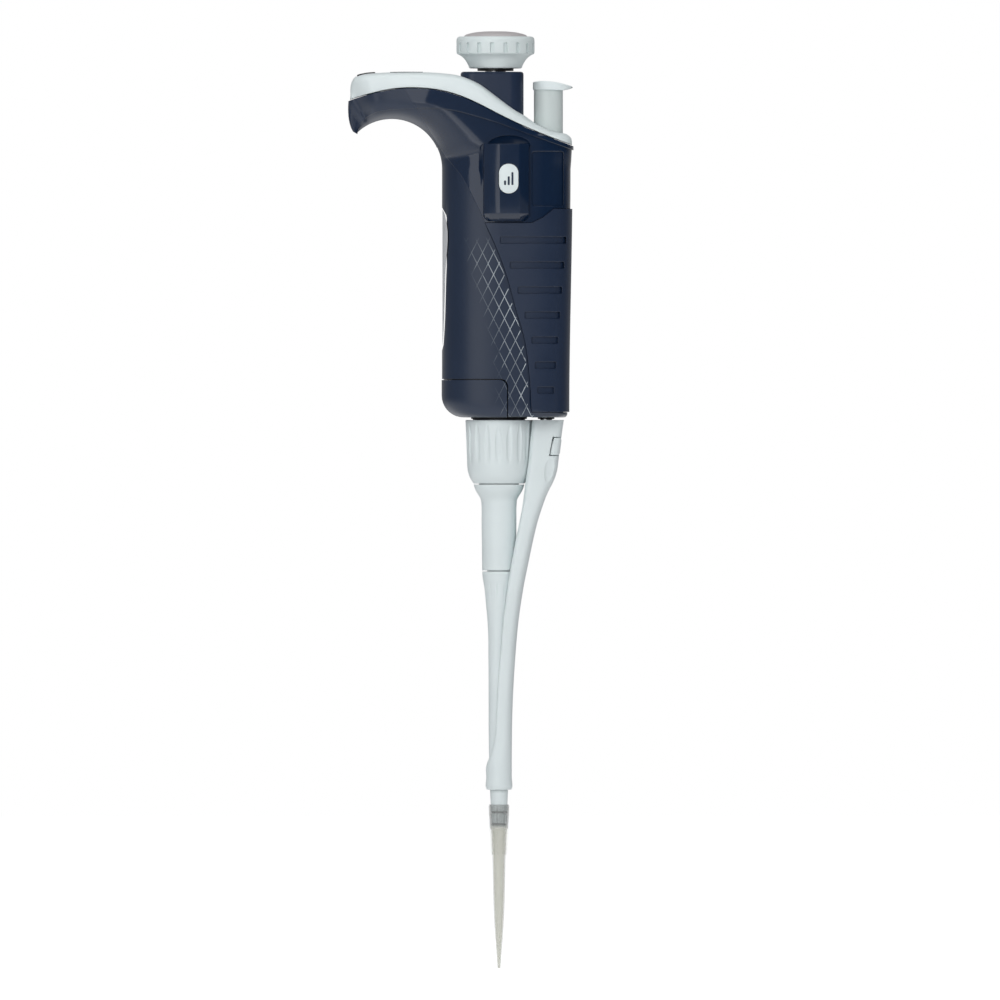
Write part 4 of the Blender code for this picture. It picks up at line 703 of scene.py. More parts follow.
def section_ring(inner, outer, half_depth, inner_power, outer_power):
    """Points round one section, which lies in the plane of the Y axis and the line inner to outer."""
    centre = (inner + outer) / 2
    reach = (outer - inner) / 2
    ring = []
    for k in range(AROUND):
        angle = 2 * pi * (k + 0.5) / AROUND
        along, across = cos(angle), sin(angle)
        power = outer_power if along > 0 else inner_power
        along = copysign(abs(along) ** (2 / power), along)
        across = copysign(abs(across) ** (2 / power), across)
        spot = centre + reach * along
        ring.append(at(spot.x, half_depth * across, spot.y))
    return ring


def handle_rings(grow):
    """All rings of the handle, grown or shrunk all round, from its foot to the nose of the hook."""
    rings = []
    front_radius, back_radius, side_radius = (
        max(radius + grow, SMALLEST_RADIUS)
        for radius in (FOOT_FRONT_RADIUS, FOOT_BACK_RADIUS, FOOT_SIDE_RADIUS))
    for degree in range(0, 91, 10):
        turn = radians(degree)
        inwards, upwards = 1 - sin(turn), 1 - cos(turn)
        front = Vector((FRONT_X - grow + front_radius * inwards, front_radius * upwards - grow))
        back = Vector((BACK_X_FOOT + grow - back_radius * inwards, back_radius * upwards - grow))
        depth = HALF_DEPTH + grow - side_radius * inwards
        rings.append(section_ring(front, back, depth, FRONT_POWER, BACK_POWER))
    for step in range(1, BACK_STEPS + 1):
        share = step / BACK_STEPS
        front = Vector((FRONT_X - grow, FOOT_FRONT_RADIUS + (FINGER_CENTRE.y - FOOT_FRONT_RADIUS) * share))
        back_x = BACK_X_FOOT + (BACK_X - BACK_X_FOOT) * eased(share)
        back = Vector((back_x + grow, FOOT_BACK_RADIUS + (FINGER_CENTRE.y - FOOT_BACK_RADIUS) * share))
        rings.append(section_ring(front, back, HALF_DEPTH + grow, FRONT_POWER, BACK_POWER))
    curve = fair_curve(TOP_LINE, HOOK_STEPS)
    last_moved = back
    last_depth = HALF_DEPTH + grow
    for k, spot in enumerate(curve):
        run = (curve[min(k + 1, len(curve) - 1)] - curve[max(k - 1, 0)]).normalized()
        moved = Vector((spot.x + run.y * grow, spot.y - run.x * grow))
        away = (spot - FINGER_CENTRE).normalized()
        inner = FINGER_CENTRE + away * (FINGER_RADIUS - grow)
        thickness = (moved - FINGER_CENTRE).length - (inner - FINGER_CENTRE).length
        if (moved - last_moved).dot(run) <= LEAST_ADVANCE or thickness < LEAST_THICKNESS:
            continue
        last_moved = moved
        last_depth = min(depth_at(spot.x, grow), last_depth)
        fullness = BACK_POWER + (TOP_POWER - BACK_POWER) * eased((BACK_X - spot.x) / TOP_FILLING)
        rings.append(section_ring(inner, moved, last_depth, FINGER_POWER, fullness))
    return rings


def handle_form(name, grow=0.0):
    """The whole handle as one closed skin, grown or shrunk all round."""
    return skin(name, handle_rings(grow))


handle_skin = handle_form("handle_skin")
print("handle skin:", len(handle_skin.data.polygons), "faces")

# %% [markdown]
# The regions that share the handle out are prisms drawn in side view: what lies above the joint of the
# white cover, what lies above the lower edge of the proud rim, the grip behind its long diagonal edge, the
# pale strip let into the front and the battery cover at the foot.

# %% Lines of the side view
OUTSIDE = 60.0
PARTING_LINE = [(-49.0, 97.2), (-46.8, 98.1), (-39.7, 100.3), (-31.0, 101.9), (-24.5, 102.0),
                (-18.3, 101.3), (-11.8, 99.5), (-5.9, 96.9), (0.9, 93.4), (7.9, 90.1), (14.9, 87.2),
                (22.1, 84.5), (24.0, 83.8)]
RIM_LINE = [(-44.3, 84.0), (-43.9, 88.0), (-43.2, 90.2), (-41.5, 92.5), (-38.8, 94.2), (-35.0, 95.1),
            (-29.1, 95.6), (-22.9, 95.8), (-15.2, 95.3), (-7.1, 93.3), (0.9, 90.8), (6.2, 88.8),
            (14.3, 85.9), (21.4, 83.4), (24.0, 82.5)]
CREASE = [(-18.3, 83.6), (-17.05, 81.7), (-10.85, 73.6), (-7.9, 67.8), (-5.6, 63.1), (-4.3, 60.2)]
CREASE_DEPTH = 0.12
RIM_PROUD = 0.5
GRIP_TOP = [(10.2, 60.2), (13.6, 61.9), (17.0, 64.6)]
PANEL_EDGE = [(-16.4, 62.8), (-15.7, 58.4), (-16.3, 45.7), (-16.9, 27.1), (-17.2, 22.5)]
GRIP_PROUD = 0.6
GRIP_THICKNESS = 1.5
GRIP_EDGE_GAP = 0.1
PANEL_SINK = 0.25
PANEL_THICKNESS = 1.0
PANEL_TOP_RISE = 2.5
PANEL_FOOT_DROP = 2.2
PANEL_FLARE = 8.0
BATTERY_COVER_BACK_X = 2.5
BATTERY_COVER_TOP_Z = 11.6
BATTERY_COVER_CORNER = 2.4


def line_region(name, line, shift, top):
    """A prism that holds all that lies above or below a line."""
    edge = [(spot.x, spot.y + shift) for spot in fair_curve(line, 60)]
    far_z = OUTSIDE * 3 if top else -OUTSIDE
    outline = [(-OUTSIDE * 1.5, far_z), (-OUTSIDE * 1.5, edge[0][1])]
    outline += edge
    outline += [(OUTSIDE, edge[-1][1]), (OUTSIDE, far_z)]
    return prism(name, outline, -OUTSIDE, OUTSIDE)


def grip_outline(grow):
    """Side outline of the rear grip, open past the back of the handle."""
    edge = [(spot.x - grow, spot.y) for spot in fair_curve(GRIP_EDGE, 24)]
    edge[0] = (edge[0][0], edge[0][1] + grow)
    edge[-1] = (edge[-1][0], edge[-1][1] - grow)
    top = [(x, z + grow) for x, z in reversed(GRIP_TOP)]
    return edge + [(OUTSIDE, GRIP_EDGE[-1][1] - grow), (OUTSIDE, GRIP_TOP[-1][1] + grow)] + top


def panel_outline(grow):
    """Side outline of the front panel, open past the front of the handle."""
    edge = [(spot.x + grow, spot.y) for spot in fair_curve(PANEL_EDGE, 16)]
    top_z = PANEL_EDGE[0][1] + PANEL_TOP_RISE + grow
    bottom_z = PANEL_EDGE[-1][1] - PANEL_FOOT_DROP - grow
    above = [(-OUTSIDE, top_z + PANEL_FLARE), (FRONT_X, top_z)]
    return above + edge + [(FRONT_X, bottom_z), (-OUTSIDE, bottom_z - PANEL_FLARE)]


def battery_outline(grow):
    """Side outline of the battery cover."""
    return rounded_box_outline(-OUTSIDE, -OUTSIDE, BATTERY_COVER_BACK_X + grow, BATTERY_COVER_TOP_Z + grow,
                               BATTERY_COVER_CORNER)


above_joint = line_region("above_joint", PARTING_LINE, -GAP / 2, True)
print("joint line drawn")

# %% [markdown]
# ## The two navy shells
#
# Real shells are two mouldings that meet on the middle plane. They are made here together, as one hollow
# form with the rim fused on, the recesses for the grip, the panel and the battery cover cut in, and the
# holes for the collar and the ejector bush. Then one copy keeps the near half and one the far half, each
# stopping short of the middle by half the joint's gap.

# %% Hollow navy body
COLLAR_RADIUS = 8.7
ROD_X = 14.6
BUSH_RADIUS = 2.6
COLLAR_HOLE_TOP_Z = WALL + 3.0
BUSH_HOLE_TOP_Z = WALL + 1.0


def recess(outline, depth, low=-OUTSIDE, high=OUTSIDE):
    """What a region takes away down to a depth under the skin."""
    return carve(prism("recess", outline, low, high), handle_form("recess_floor", -depth))


rim = handle_form("rim", RIM_PROUD)
carve(rim, line_region("above_rim", RIM_LINE, 0.0, True), "INTERSECT")
navy_body = carve(copy_of(handle_skin, "navy_body"), rim, "UNION")
carve(navy_body, above_joint, keep_tool=True)
carve(navy_body, handle_form("cavity", -WALL))
carve(navy_body, recess(grip_outline(GRIP_EDGE_GAP), GRIP_THICKNESS - GRIP_PROUD + GAP))
carve(navy_body, recess(panel_outline(0.0), PANEL_SINK + PANEL_THICKNESS + GAP))
carve(navy_body, prism("battery_space", battery_outline(GAP), -OUTSIDE, OUTSIDE))
carve(navy_body, bore("collar_hole", COLLAR_RADIUS + GAP, -OUTSIDE, COLLAR_HOLE_TOP_Z))
carve(navy_body, bore("bush_hole", BUSH_RADIUS + GAP, -OUTSIDE, BUSH_HOLE_TOP_Z, ROD_X, 48))
print("hollow body:", len(navy_body.data.polygons), "faces")

# %% Near and far shells
MODULE_LEFT_X = -4.9
MODULE_RIGHT_X = 9.3
MODULE_BOTTOM_Z = 60.7
MODULE_TOP_Z = 84.7
WINDOW_INSET = 1.2
WINDOW_CORNER = 1.3
NAIL_DENT_CENTRE = (3.2, -HALF_DEPTH, 84.3)
NAIL_DENT_REACH = (6.6, 1.1, 3.0)
SIDE_DENT_CENTRE = (-4.9, -HALF_DEPTH, 78.9)
SIDE_DENT_REACH = (2.0, 0.9, 5.8)
POCKET_FRONT_X = 10.2
POCKET_BACK_X = 20.0
POCKET_BOTTOM_Z = 65.4
POCKET_TOP_Z = 82.4
POCKET_CORNER = 0.8
POCKET_DEPTH = 0.4


def half_space(name, from_y, to_y):
    """A block on one side of the handle's middle plane."""
    outline = [(-OUTSIDE * 2, -OUTSIDE), (OUTSIDE, -OUTSIDE), (OUTSIDE, OUTSIDE * 3),
               (-OUTSIDE * 2, OUTSIDE * 3)]
    return prism(name, outline, from_y, to_y)


shell_far = carve(copy_of(navy_body, "shell_far"), half_space("near_side", -OUTSIDE, GAP / 2))
shell_near = carve(navy_body, half_space("far_side", -GAP / 2, OUTSIDE))
shell_near.name = "shell_near"
module_window = rounded_box_outline(MODULE_LEFT_X + WINDOW_INSET, MODULE_BOTTOM_Z + WINDOW_INSET,
                                    MODULE_RIGHT_X - WINDOW_INSET, MODULE_TOP_Z - WINDOW_INSET,
                                    WINDOW_CORNER)
carve(shell_near, prism("module_window", module_window, -OUTSIDE, -HALF_DEPTH / 2))
carve(shell_near, scoop("nail_dent", NAIL_DENT_CENTRE, NAIL_DENT_REACH))
carve(shell_near, scoop("side_dent", SIDE_DENT_CENTRE, SIDE_DENT_REACH))
pocket = rounded_box_outline(POCKET_FRONT_X, POCKET_BOTTOM_Z, POCKET_BACK_X, POCKET_TOP_Z, POCKET_CORNER)
carve(shell_near, recess(pocket, POCKET_DEPTH, -OUTSIDE, 0.0))
satin_back_x = GRIP_EDGE[-1][0]
satin_side = flat_curve(CREASE, 20)
satin_side += [(satin_back_x, GRIP_EDGE[0][1] - 0.4), (satin_back_x, -OUTSIDE), (-OUTSIDE, -OUTSIDE),
               (-OUTSIDE, CREASE[0][1])]
carve(shell_near, recess(satin_side, CREASE_DEPTH))
carve(shell_far, recess(satin_side, CREASE_DEPTH))
finish_piece(shell_near, navy_shell, "handle", "handle_shell_near")
finish_piece(shell_far, navy_shell, "handle", "handle_shell_far")

# %% [markdown]
# ## White top cover
#
# The cover is the same form above the joint line, hollow, with openings for the turret, the ejector button,
# the keys and the display window. It is glued over the rim of the shells, so the joint shows as one line.

# %% Plan outlines on the top
KNOB_X = -1.1
TURRET_X = -2.15
TURRET_HALF_LENGTH = 9.75
TURRET_HALF_DEPTH = 9.5
TURRET_CORNER = 4.2
BUTTON_X = 15.3
BUTTON_RADIUS = 4.5
KEY_FRONT_X = -44.0
KEY_BACK_X = -38.4
KEY_HALF_WIDTH = 7.4
LENS_FRONT_X = -33.8
LENS_BACK_X = -23.6
LENS_HALF_WIDTH = 9.0
LENS_CORNER = 1.6
KEY_CORNER = 1.0
LID_FLOOR_Z = 101.0


def turret_outline(grow):
    """Plan outline of the turret."""
    return rounded_box_outline(TURRET_X - TURRET_HALF_LENGTH - grow, -TURRET_HALF_DEPTH - grow,
                               TURRET_X + TURRET_HALF_LENGTH + grow, TURRET_HALF_DEPTH + grow,
                               TURRET_CORNER + grow, 12)


def lens_outline(grow):
    """Plan outline of the display lens."""
    return rounded_box_outline(LENS_FRONT_X - grow, -LENS_HALF_WIDTH - grow, LENS_BACK_X + grow,
                               LENS_HALF_WIDTH + grow, LENS_CORNER + grow)


def key_outline(side, grow):
    """Plan outline of one key, with side -1 for the near key and 1 for the far one."""
    near, far = sorted((side * GAP, side * KEY_HALF_WIDTH))
    return rounded_box_outline(KEY_FRONT_X - grow, near - grow, KEY_BACK_X + grow, far + grow,
                               KEY_CORNER + grow)


# %% Cover
LENS_PROUD = 0.12
LENS_THICKNESS = 1.2
DISPLAY_INSET = 1.3

below_joint = line_region("below_joint", PARTING_LINE, GAP / 2, False)
cover = carve(copy_of(handle_skin, "white_cover"), below_joint)
carve(cover, handle_form("cover_cavity", -WALL))
carve(cover, prism("turret_opening", turret_outline(GAP), 0.0, OUTSIDE * 2, "top"))
carve(cover, bore("button_opening", BUTTON_RADIUS + GAP, 70.0, OUTSIDE * 2, BUTTON_X, 64))
lens_recess = prism("lens_recess", lens_outline(GAP), LID_FLOOR_Z, OUTSIDE * 2, "top")
carve(cover, carve(lens_recess, handle_form("lens_floor", LENS_PROUD - LENS_THICKNESS - GAP)))
carve(cover, prism("display_window", lens_outline(-DISPLAY_INSET), LID_FLOOR_Z, OUTSIDE * 2, "top"))
key_opening = rounded_box_outline(KEY_FRONT_X - GAP, -KEY_HALF_WIDTH - GAP, KEY_BACK_X + GAP,
                                  KEY_HALF_WIDTH + GAP, KEY_CORNER)
carve(cover, prism("key_opening", key_opening, LID_FLOOR_Z, OUTSIDE * 2, "top"))
finish_piece(cover, cool_white, "handle", "top_cover")

# %% [markdown]
# ## Grip, front panel and battery cover
#
# The rear grip is a thin overlay, 0.6 mm proud, whose seven grooves are shallow slots with small round
# corners, shorter towards the bottom. The front panel is a pale strip sunk a quarter of a millimetre into the
# front. The battery cover is the foot of the handle, cut free by a line with one round corner. A black lip
# inside the handle is painted shade: a dark sheet behind that line which keeps it dark, as a shadowed gap.

# %% Rear grip
GROOVE_COUNT = 7
GROOVE_TOP_Z = 54.9
GROOVE_PITCH = 7.75
GROOVE_HEIGHT = 2.2
GROOVE_DEPTH = 0.6
GROOVE_BACK_X = 20.8
GROOVE_BACK_STEP = 0.62
GROOVE_MARGIN = 2.2
GROOVE_CORNER = 0.45


def groove_front(z):
    """Where a groove starts behind the grip's diagonal edge."""
    for (upper_x, upper_z), (lower_x, lower_z) in zip(GRIP_EDGE, GRIP_EDGE[1:]):
        if lower_z <= z <= upper_z:
            share = (upper_z - z) / (upper_z - lower_z)
            return upper_x + (lower_x - upper_x) * share + GROOVE_MARGIN
    return GRIP_EDGE[-1][0] + GROOVE_MARGIN


grip = carve(handle_form("rear_grip_overlay", GRIP_PROUD),
             prism("grip_region", grip_outline(0.0), -OUTSIDE, OUTSIDE), "INTERSECT")
carve(grip, handle_form("grip_inside", GRIP_PROUD - GRIP_THICKNESS))
groove_floor = handle_form("groove_floor", GRIP_PROUD - GROOVE_DEPTH)
for k in range(GROOVE_COUNT):
    groove_z = GROOVE_TOP_Z - k * GROOVE_PITCH
    slot = rounded_box_outline(groove_front(groove_z), groove_z - GROOVE_HEIGHT / 2,
                               GROOVE_BACK_X - k * GROOVE_BACK_STEP, groove_z + GROOVE_HEIGHT / 2,
                               GROOVE_CORNER, 4)
    groove = carve(prism("groove", slot, -OUTSIDE, OUTSIDE), groove_floor, keep_tool=True)
    carve(grip, groove)
bpy.data.objects.remove(groove_floor)
finish_piece(grip, navy_satin, "handle", "rear_grip")

# %% Front panel and battery cover
LIP_SINK = 0.6
LIP_TOP_Z = BATTERY_COVER_TOP_Z + 1.6

nose_panel = carve(handle_form("nose_panel", -PANEL_SINK),
                   prism("panel_region", panel_outline(-GAP), -OUTSIDE, OUTSIDE), "INTERSECT")
carve(nose_panel, handle_form("panel_inside", -(PANEL_SINK + PANEL_THICKNESS)))
finish_piece(nose_panel, panel_grey, "handle", "front_panel")

foot_cover = carve(handle_skin, prism("foot_region", battery_outline(0.0), -OUTSIDE, OUTSIDE), "INTERSECT")
foot_cover.name = "foot_cover"
carve(foot_cover, handle_form("foot_cavity", -WALL))
notch_half = COLLAR_RADIUS + GAP
notch = [(0.0, -notch_half), (OUTSIDE, -notch_half), (OUTSIDE, notch_half), (0.0, notch_half)]
carve(foot_cover, bore("collar_space", notch_half, -OUTSIDE, COLLAR_HOLE_TOP_Z))
carve(foot_cover, prism("collar_notch", notch, -OUTSIDE, COLLAR_HOLE_TOP_Z, "top"))
finish_piece(foot_cover, navy_shell, "battery_cover", "battery_cover")

# Painted shade: a black sheet inside the handle behind the battery cover's line keeps that line dark.
lip_outline = rounded_box_outline(-OUTSIDE, BATTERY_COVER_TOP_Z + 0.06, BATTERY_COVER_BACK_X, LIP_TOP_Z,
                                  0.2)
gap_shade_lip = carve(handle_form("foot_gap_lip", -LIP_SINK),
                prism("lip_region", lip_outline, -OUTSIDE, OUTSIDE), "INTERSECT")
carve(gap_shade_lip, handle_form("lip_inside", -WALL))
finish_piece(gap_shade_lip, black_plastic, "handle")
bpy.data.objects.remove(above_joint)

# %% [markdown]
# ## Display lens and keys
#
# The lens is a thin plate of grey smoked acrylic that follows the crown of the hook a little proud of the
# cover. The two keys are black, with round corners, cut from the same crowned form.

# %% Lens and keys
KEY_PROUD = 0.3
KEY_BOTTOM_Z = 101.5


def round_corners(piece, width, segments=3, angle=35):
    """Round the sharp edges of a piece with a bevel."""
    take(piece)
    rounding = piece.modifiers.new("rounding", "BEVEL")
    rounding.width = width * MM
    rounding.segments = segments
    rounding.limit_method = "ANGLE"
    rounding.angle_limit = radians(angle)
    rounding.use_clamp_overlap = False
    rounding.harden_normals = False
    bpy.ops.object.modifier_apply(modifier=rounding.name)
    return piece


lens_glass = moulded_plastic("smoked_lens", (0.20, 0.235, 0.25), 0.06, grain=0.0, wander=0.01)
lens = carve(handle_form("lens", LENS_PROUD),
             prism("lens_region", lens_outline(0.0), LID_FLOOR_Z, OUTSIDE * 2, "top"), "INTERSECT")
carve(lens, handle_form("lens_inside", LENS_PROUD - LENS_THICKNESS))
finish_piece(lens, lens_glass, "handle", "display_lens")

for key_name, node, body, side in (("near_key", "key_near", "near_key", -1),
                                   ("far_key", "key_far", "far_key", 1)):
    key = carve(handle_form(key_name, KEY_PROUD),
                prism("key_region", key_outline(side, 0.0), KEY_BOTTOM_Z, OUTSIDE * 2, "top"), "INTERSECT")
    finish_piece(key, black_plastic, body, node)

# %% [markdown]
# ## Turret and control knob
#
# The turret is a short rounded post with a soft top edge. The knob is two pieces: a wheel with eighteen
# slots round its rim and a skirt that sweeps in like a trumpet, and a domed cap set in the top. Both are
# turned outlines, so they are spun, and the slots are cut by one rounded block that is copied round.

# %% Turret
TURRET_TOP_Z = 107.1
SPRING_SEAT_Z = 82.3
STEM_RADIUS = 3.2
FLANGE_TOP_Z = 89.5
SPRING_SPACE_RADIUS = 5.3
BUSH_BOTTOM_Z = 107.4
BUSH_TOP_Z = 108.8

turret = prism("turret_post", turret_outline(0.0), SPRING_SEAT_Z, TURRET_TOP_Z, "top")
round_corners(turret, 0.8, 4)
carve(turret, lathe("turret_bore", [(0.0, OUTSIDE * 2), (STEM_RADIUS + GAP, OUTSIDE * 2),
                                    (STEM_RADIUS + GAP, FLANGE_TOP_Z + GAP),
                                    (SPRING_SPACE_RADIUS, FLANGE_TOP_Z + GAP),
                                    (SPRING_SPACE_RADIUS, 60.0), (0.0, 60.0)], KNOB_X, 48))
finish_piece(turret, navy_satin, "handle", "turret")
black_bush = lathe("black_bush", [(5.6, BUSH_BOTTOM_Z), (5.6, BUSH_TOP_Z - 0.2), (5.4, BUSH_TOP_Z),
                                  (STEM_RADIUS + GAP, BUSH_TOP_Z), (STEM_RADIUS + GAP, BUSH_BOTTOM_Z)],
                   KNOB_X, 64)
finish_piece(black_bush, black_plastic, "handle", "knob_bush")


# %% Knob wheel and cap
KNOB_RADIUS = 12.1
KNOB_CAP_RADIUS = 10.2
KNOB_SLOT_COUNT = 18
KNOB_SLOT_WIDTH = 1.2
KNOB_SLOT_DEPTH = 0.7
KNOB_SLOT_BOTTOM_Z = 112.9
KNOB_SLOT_TOP_Z = 116.1
KNOB_SLOT_TURN = 5.0

rim_profile = [(0.0, 116.2), (KNOB_CAP_RADIUS + GAP, 116.2), (KNOB_CAP_RADIUS + GAP, 117.7),
               (10.7, 118.0), (11.2, 118.05), (11.6, 117.9), (11.9, 117.6), (12.05, 117.2),
               (KNOB_RADIUS, 116.7), (KNOB_RADIUS, 113.2), (12.0, 112.85), (11.75, 112.6), (11.3, 112.4),
               (10.9, 112.2), (10.3, 111.75), (9.8, 111.3), (9.35, 110.75), (9.0, 110.2), (8.6, 109.5),
               (8.35, 109.0), (8.2, 108.5), (8.1, 108.35), (7.9, 108.2), (6.2, 108.2), (6.2, 110.6),
               (STEM_RADIUS + GAP, 110.6), (STEM_RADIUS + GAP, 112.6), (0.0, 112.6)]
knob = lathe("knob", rim_profile, KNOB_X, 144)
slot_block = rounded_box_outline(KNOB_X - KNOB_SLOT_WIDTH / 2, KNOB_SLOT_BOTTOM_Z,
                                 KNOB_X + KNOB_SLOT_WIDTH / 2, KNOB_SLOT_TOP_Z, 0.35, 4)
cutter = prism("knob_slots", slot_block, -KNOB_RADIUS - 1.0, -KNOB_RADIUS + KNOB_SLOT_DEPTH)
set_round(cutter, KNOB_SLOT_COUNT, KNOB_SLOT_TURN, KNOB_X)
carve(knob, cutter)
finish_piece(knob, knob_grey, "knob", "knob_wheel")

dome = fair_curve([(0.0, 119.7), (4.0, 119.6), (7.6, 119.1), (9.6, 118.4), (10.2, 117.7)], 16)
cap_profile = [(max(spot.x, 0.0), spot.y) for spot in dome]
cap_profile += [(KNOB_CAP_RADIUS, 116.5), (0.0, 116.5)]
knob_cap = lathe("knob_cap_dome", cap_profile, KNOB_X, 128)
finish_piece(knob_cap, knob_rose, "knob", "knob_cap")

# %% [markdown]
# ## Wireless module
#
# The radio sits in a faceted cover on the near side: a flat face, a broad bevel and a narrow return at the
# front, one bevel at the back and one at the foot. Its top is open to the fingernail dent in the shell, so
# it can be slid off. The blank is a loft of three plan sections, with small radii on all its edges.

# %% Wireless cover
MODULE_FACE_Y = -17.5
MODULE_CHAMFER = 2.3
MODULE_ROOT_Y = -9.0
MODULE_EDGE_ROUND = 0.22
BADGE_X = 3.0
BADGE_Z = 73.9
BADGE_WIDTH = 6.0
BADGE_HEIGHT = 9.2
BADGE_THICKNESS = 0.5
BADGE_GAP = 0.12


def module_section(face_y, z):
    """Plan section of the wireless cover at a height, with its flat face at a depth."""
    outline = [(MODULE_LEFT_X, MODULE_ROOT_Y), (MODULE_LEFT_X, face_y + MODULE_CHAMFER + 0.7),
               (MODULE_LEFT_X + 0.4, face_y + MODULE_CHAMFER), (MODULE_LEFT_X + 1.9, face_y + 1.1),
               (0.0, face_y), (6.4, face_y), (MODULE_RIGHT_X, face_y + MODULE_CHAMFER),
               (MODULE_RIGHT_X, MODULE_ROOT_Y)]
    return [at(x, y, z) for x, y in outline]


def badge_outline(grow):
    """Side outline of the pill-shaped badge."""
    return rounded_box_outline(BADGE_X - BADGE_WIDTH / 2 - grow, BADGE_Z - BADGE_HEIGHT / 2 - grow,
                               BADGE_X + BADGE_WIDTH / 2 + grow, BADGE_Z + BADGE_HEIGHT / 2 + grow,
                               BADGE_WIDTH / 2 - 0.1 + grow, 12)


radio_cover = skin("radio_cover", [module_section(MODULE_FACE_Y + MODULE_CHAMFER, MODULE_BOTTOM_Z),
                                   module_section(MODULE_FACE_Y, MODULE_BOTTOM_Z + MODULE_CHAMFER),
                                   module_section(MODULE_FACE_Y, MODULE_TOP_Z)])
round_corners(radio_cover, MODULE_EDGE_ROUND, 3, angle=12)
carve(radio_cover, handle_form("module_seat", 0.06))
carve(radio_cover, prism("badge_recess", badge_outline(BADGE_GAP), MODULE_FACE_Y - 1.0,
                         MODULE_FACE_Y + BADGE_THICKNESS))
finish_piece(radio_cover, navy_gloss, "handle", "wireless_cover")

# %% [markdown]
# The badge is a white printed pill let into the face. Three rising bars, a common sign for a radio link,
# stand on it as thin raised print.

# %% Badge
BAR_WIDTH = 0.62
BAR_PITCH = 1.15
BAR_FOOT_Z = BADGE_Z - 2.0
BAR_HEIGHTS = (1.4, 2.7, 4.0)
BAR_PROUD = 0.05
BAR_ROOT = 0.2

badge = prism("radio_badge", badge_outline(0.0), MODULE_FACE_Y, MODULE_FACE_Y + BADGE_THICKNESS)
round_corners(badge, 0.12, 3)
finish_piece(badge, cool_white, "handle", "wireless_badge")
for k, height in enumerate(BAR_HEIGHTS):
    middle_x = BADGE_X + (k - 1) * BAR_PITCH
    bar_outline = rounded_box_outline(middle_x - BAR_WIDTH / 2, BAR_FOOT_Z, middle_x + BAR_WIDTH / 2,
                                      BAR_FOOT_Z + height, 0.2, 4)
    bar = prism("radio_bar_" + str(k + 1), bar_outline, MODULE_FACE_Y - BAR_PROUD, MODULE_FACE_Y + BAR_ROOT)
    finish_piece(bar, navy_satin, "handle")

# %% [markdown]
# ## Tip ejector
#
# The ejector is one sliding train: a thumb button on a round stem, the rod inside, and the long arm beside
# the barrel. The button's cap slopes to the back and ends in a thin lip. The arm is a tapering channel that
# closes into a sleeve round the cone; its sections are lofted through many rings, so that its faint twist
# of light stays clean. The barrel's outline, grown a little, is the tool that hollows it.

# %% Ejector button
BUTTON_FRONT_X = 10.5
BUTTON_LIP_X = 22.8
BUTTON_HALF_WIDTH = 5.2
BUTTON_CAP_BOTTOM_Z = 101.4
BUTTON_TOP_Z = 104.2
BUTTON_LIP_Z = 102.5
BUTTON_CORNER = 5.0
STEM_TOP_Z = 102.2
STEM_BOTTOM_Z = 86.4

button_outline = rounded_box_outline(BUTTON_FRONT_X, -BUTTON_HALF_WIDTH, BUTTON_LIP_X, BUTTON_HALF_WIDTH,
                                     BUTTON_CORNER, 14)
button = prism("thumb_button", button_outline, BUTTON_CAP_BOTTOM_Z, BUTTON_TOP_Z + 1.0, "top")
slope = [(-OUTSIDE, BUTTON_TOP_Z)]
slope += flat_curve([(BUTTON_FRONT_X, BUTTON_TOP_Z - 0.25), (12.2, 104.2), (15.5, 104.15), (18.5, 103.75),
                     (21.0, 103.1), (BUTTON_LIP_X, BUTTON_LIP_Z)], 24)
slope += [(OUTSIDE, 98.0), (OUTSIDE, OUTSIDE * 3), (-OUTSIDE, OUTSIDE * 3)]
carve(button, prism("button_slope", slope, -OUTSIDE, OUTSIDE))
underside = flat_curve([(19.9, 101.0), (20.2, 101.4), (21.4, 101.7), (23.2, 102.2)], 12)
carve(button, prism("lip_relief", underside + [(23.2, 100.0), (19.9, 100.0)], -OUTSIDE, OUTSIDE))
round_corners(button, 0.35, 4, angle=40)
finish_piece(button, cool_white, "ejector", "ejector_button")
stem = lathe("button_stem", [(0.0, STEM_TOP_Z), (BUTTON_RADIUS, STEM_TOP_Z),
                             (BUTTON_RADIUS, STEM_BOTTOM_Z + 0.3), (BUTTON_RADIUS - 0.3, STEM_BOTTOM_Z),
                             (0.0, STEM_BOTTOM_Z)], BUTTON_X, 96)
# The stem's darker grey is painted shade for the shadow under the button's cap.
finish_piece(stem, stem_shade_grey, "ejector", "ejector_button")

# %% Ejector arm
ARM_STEPS = 120
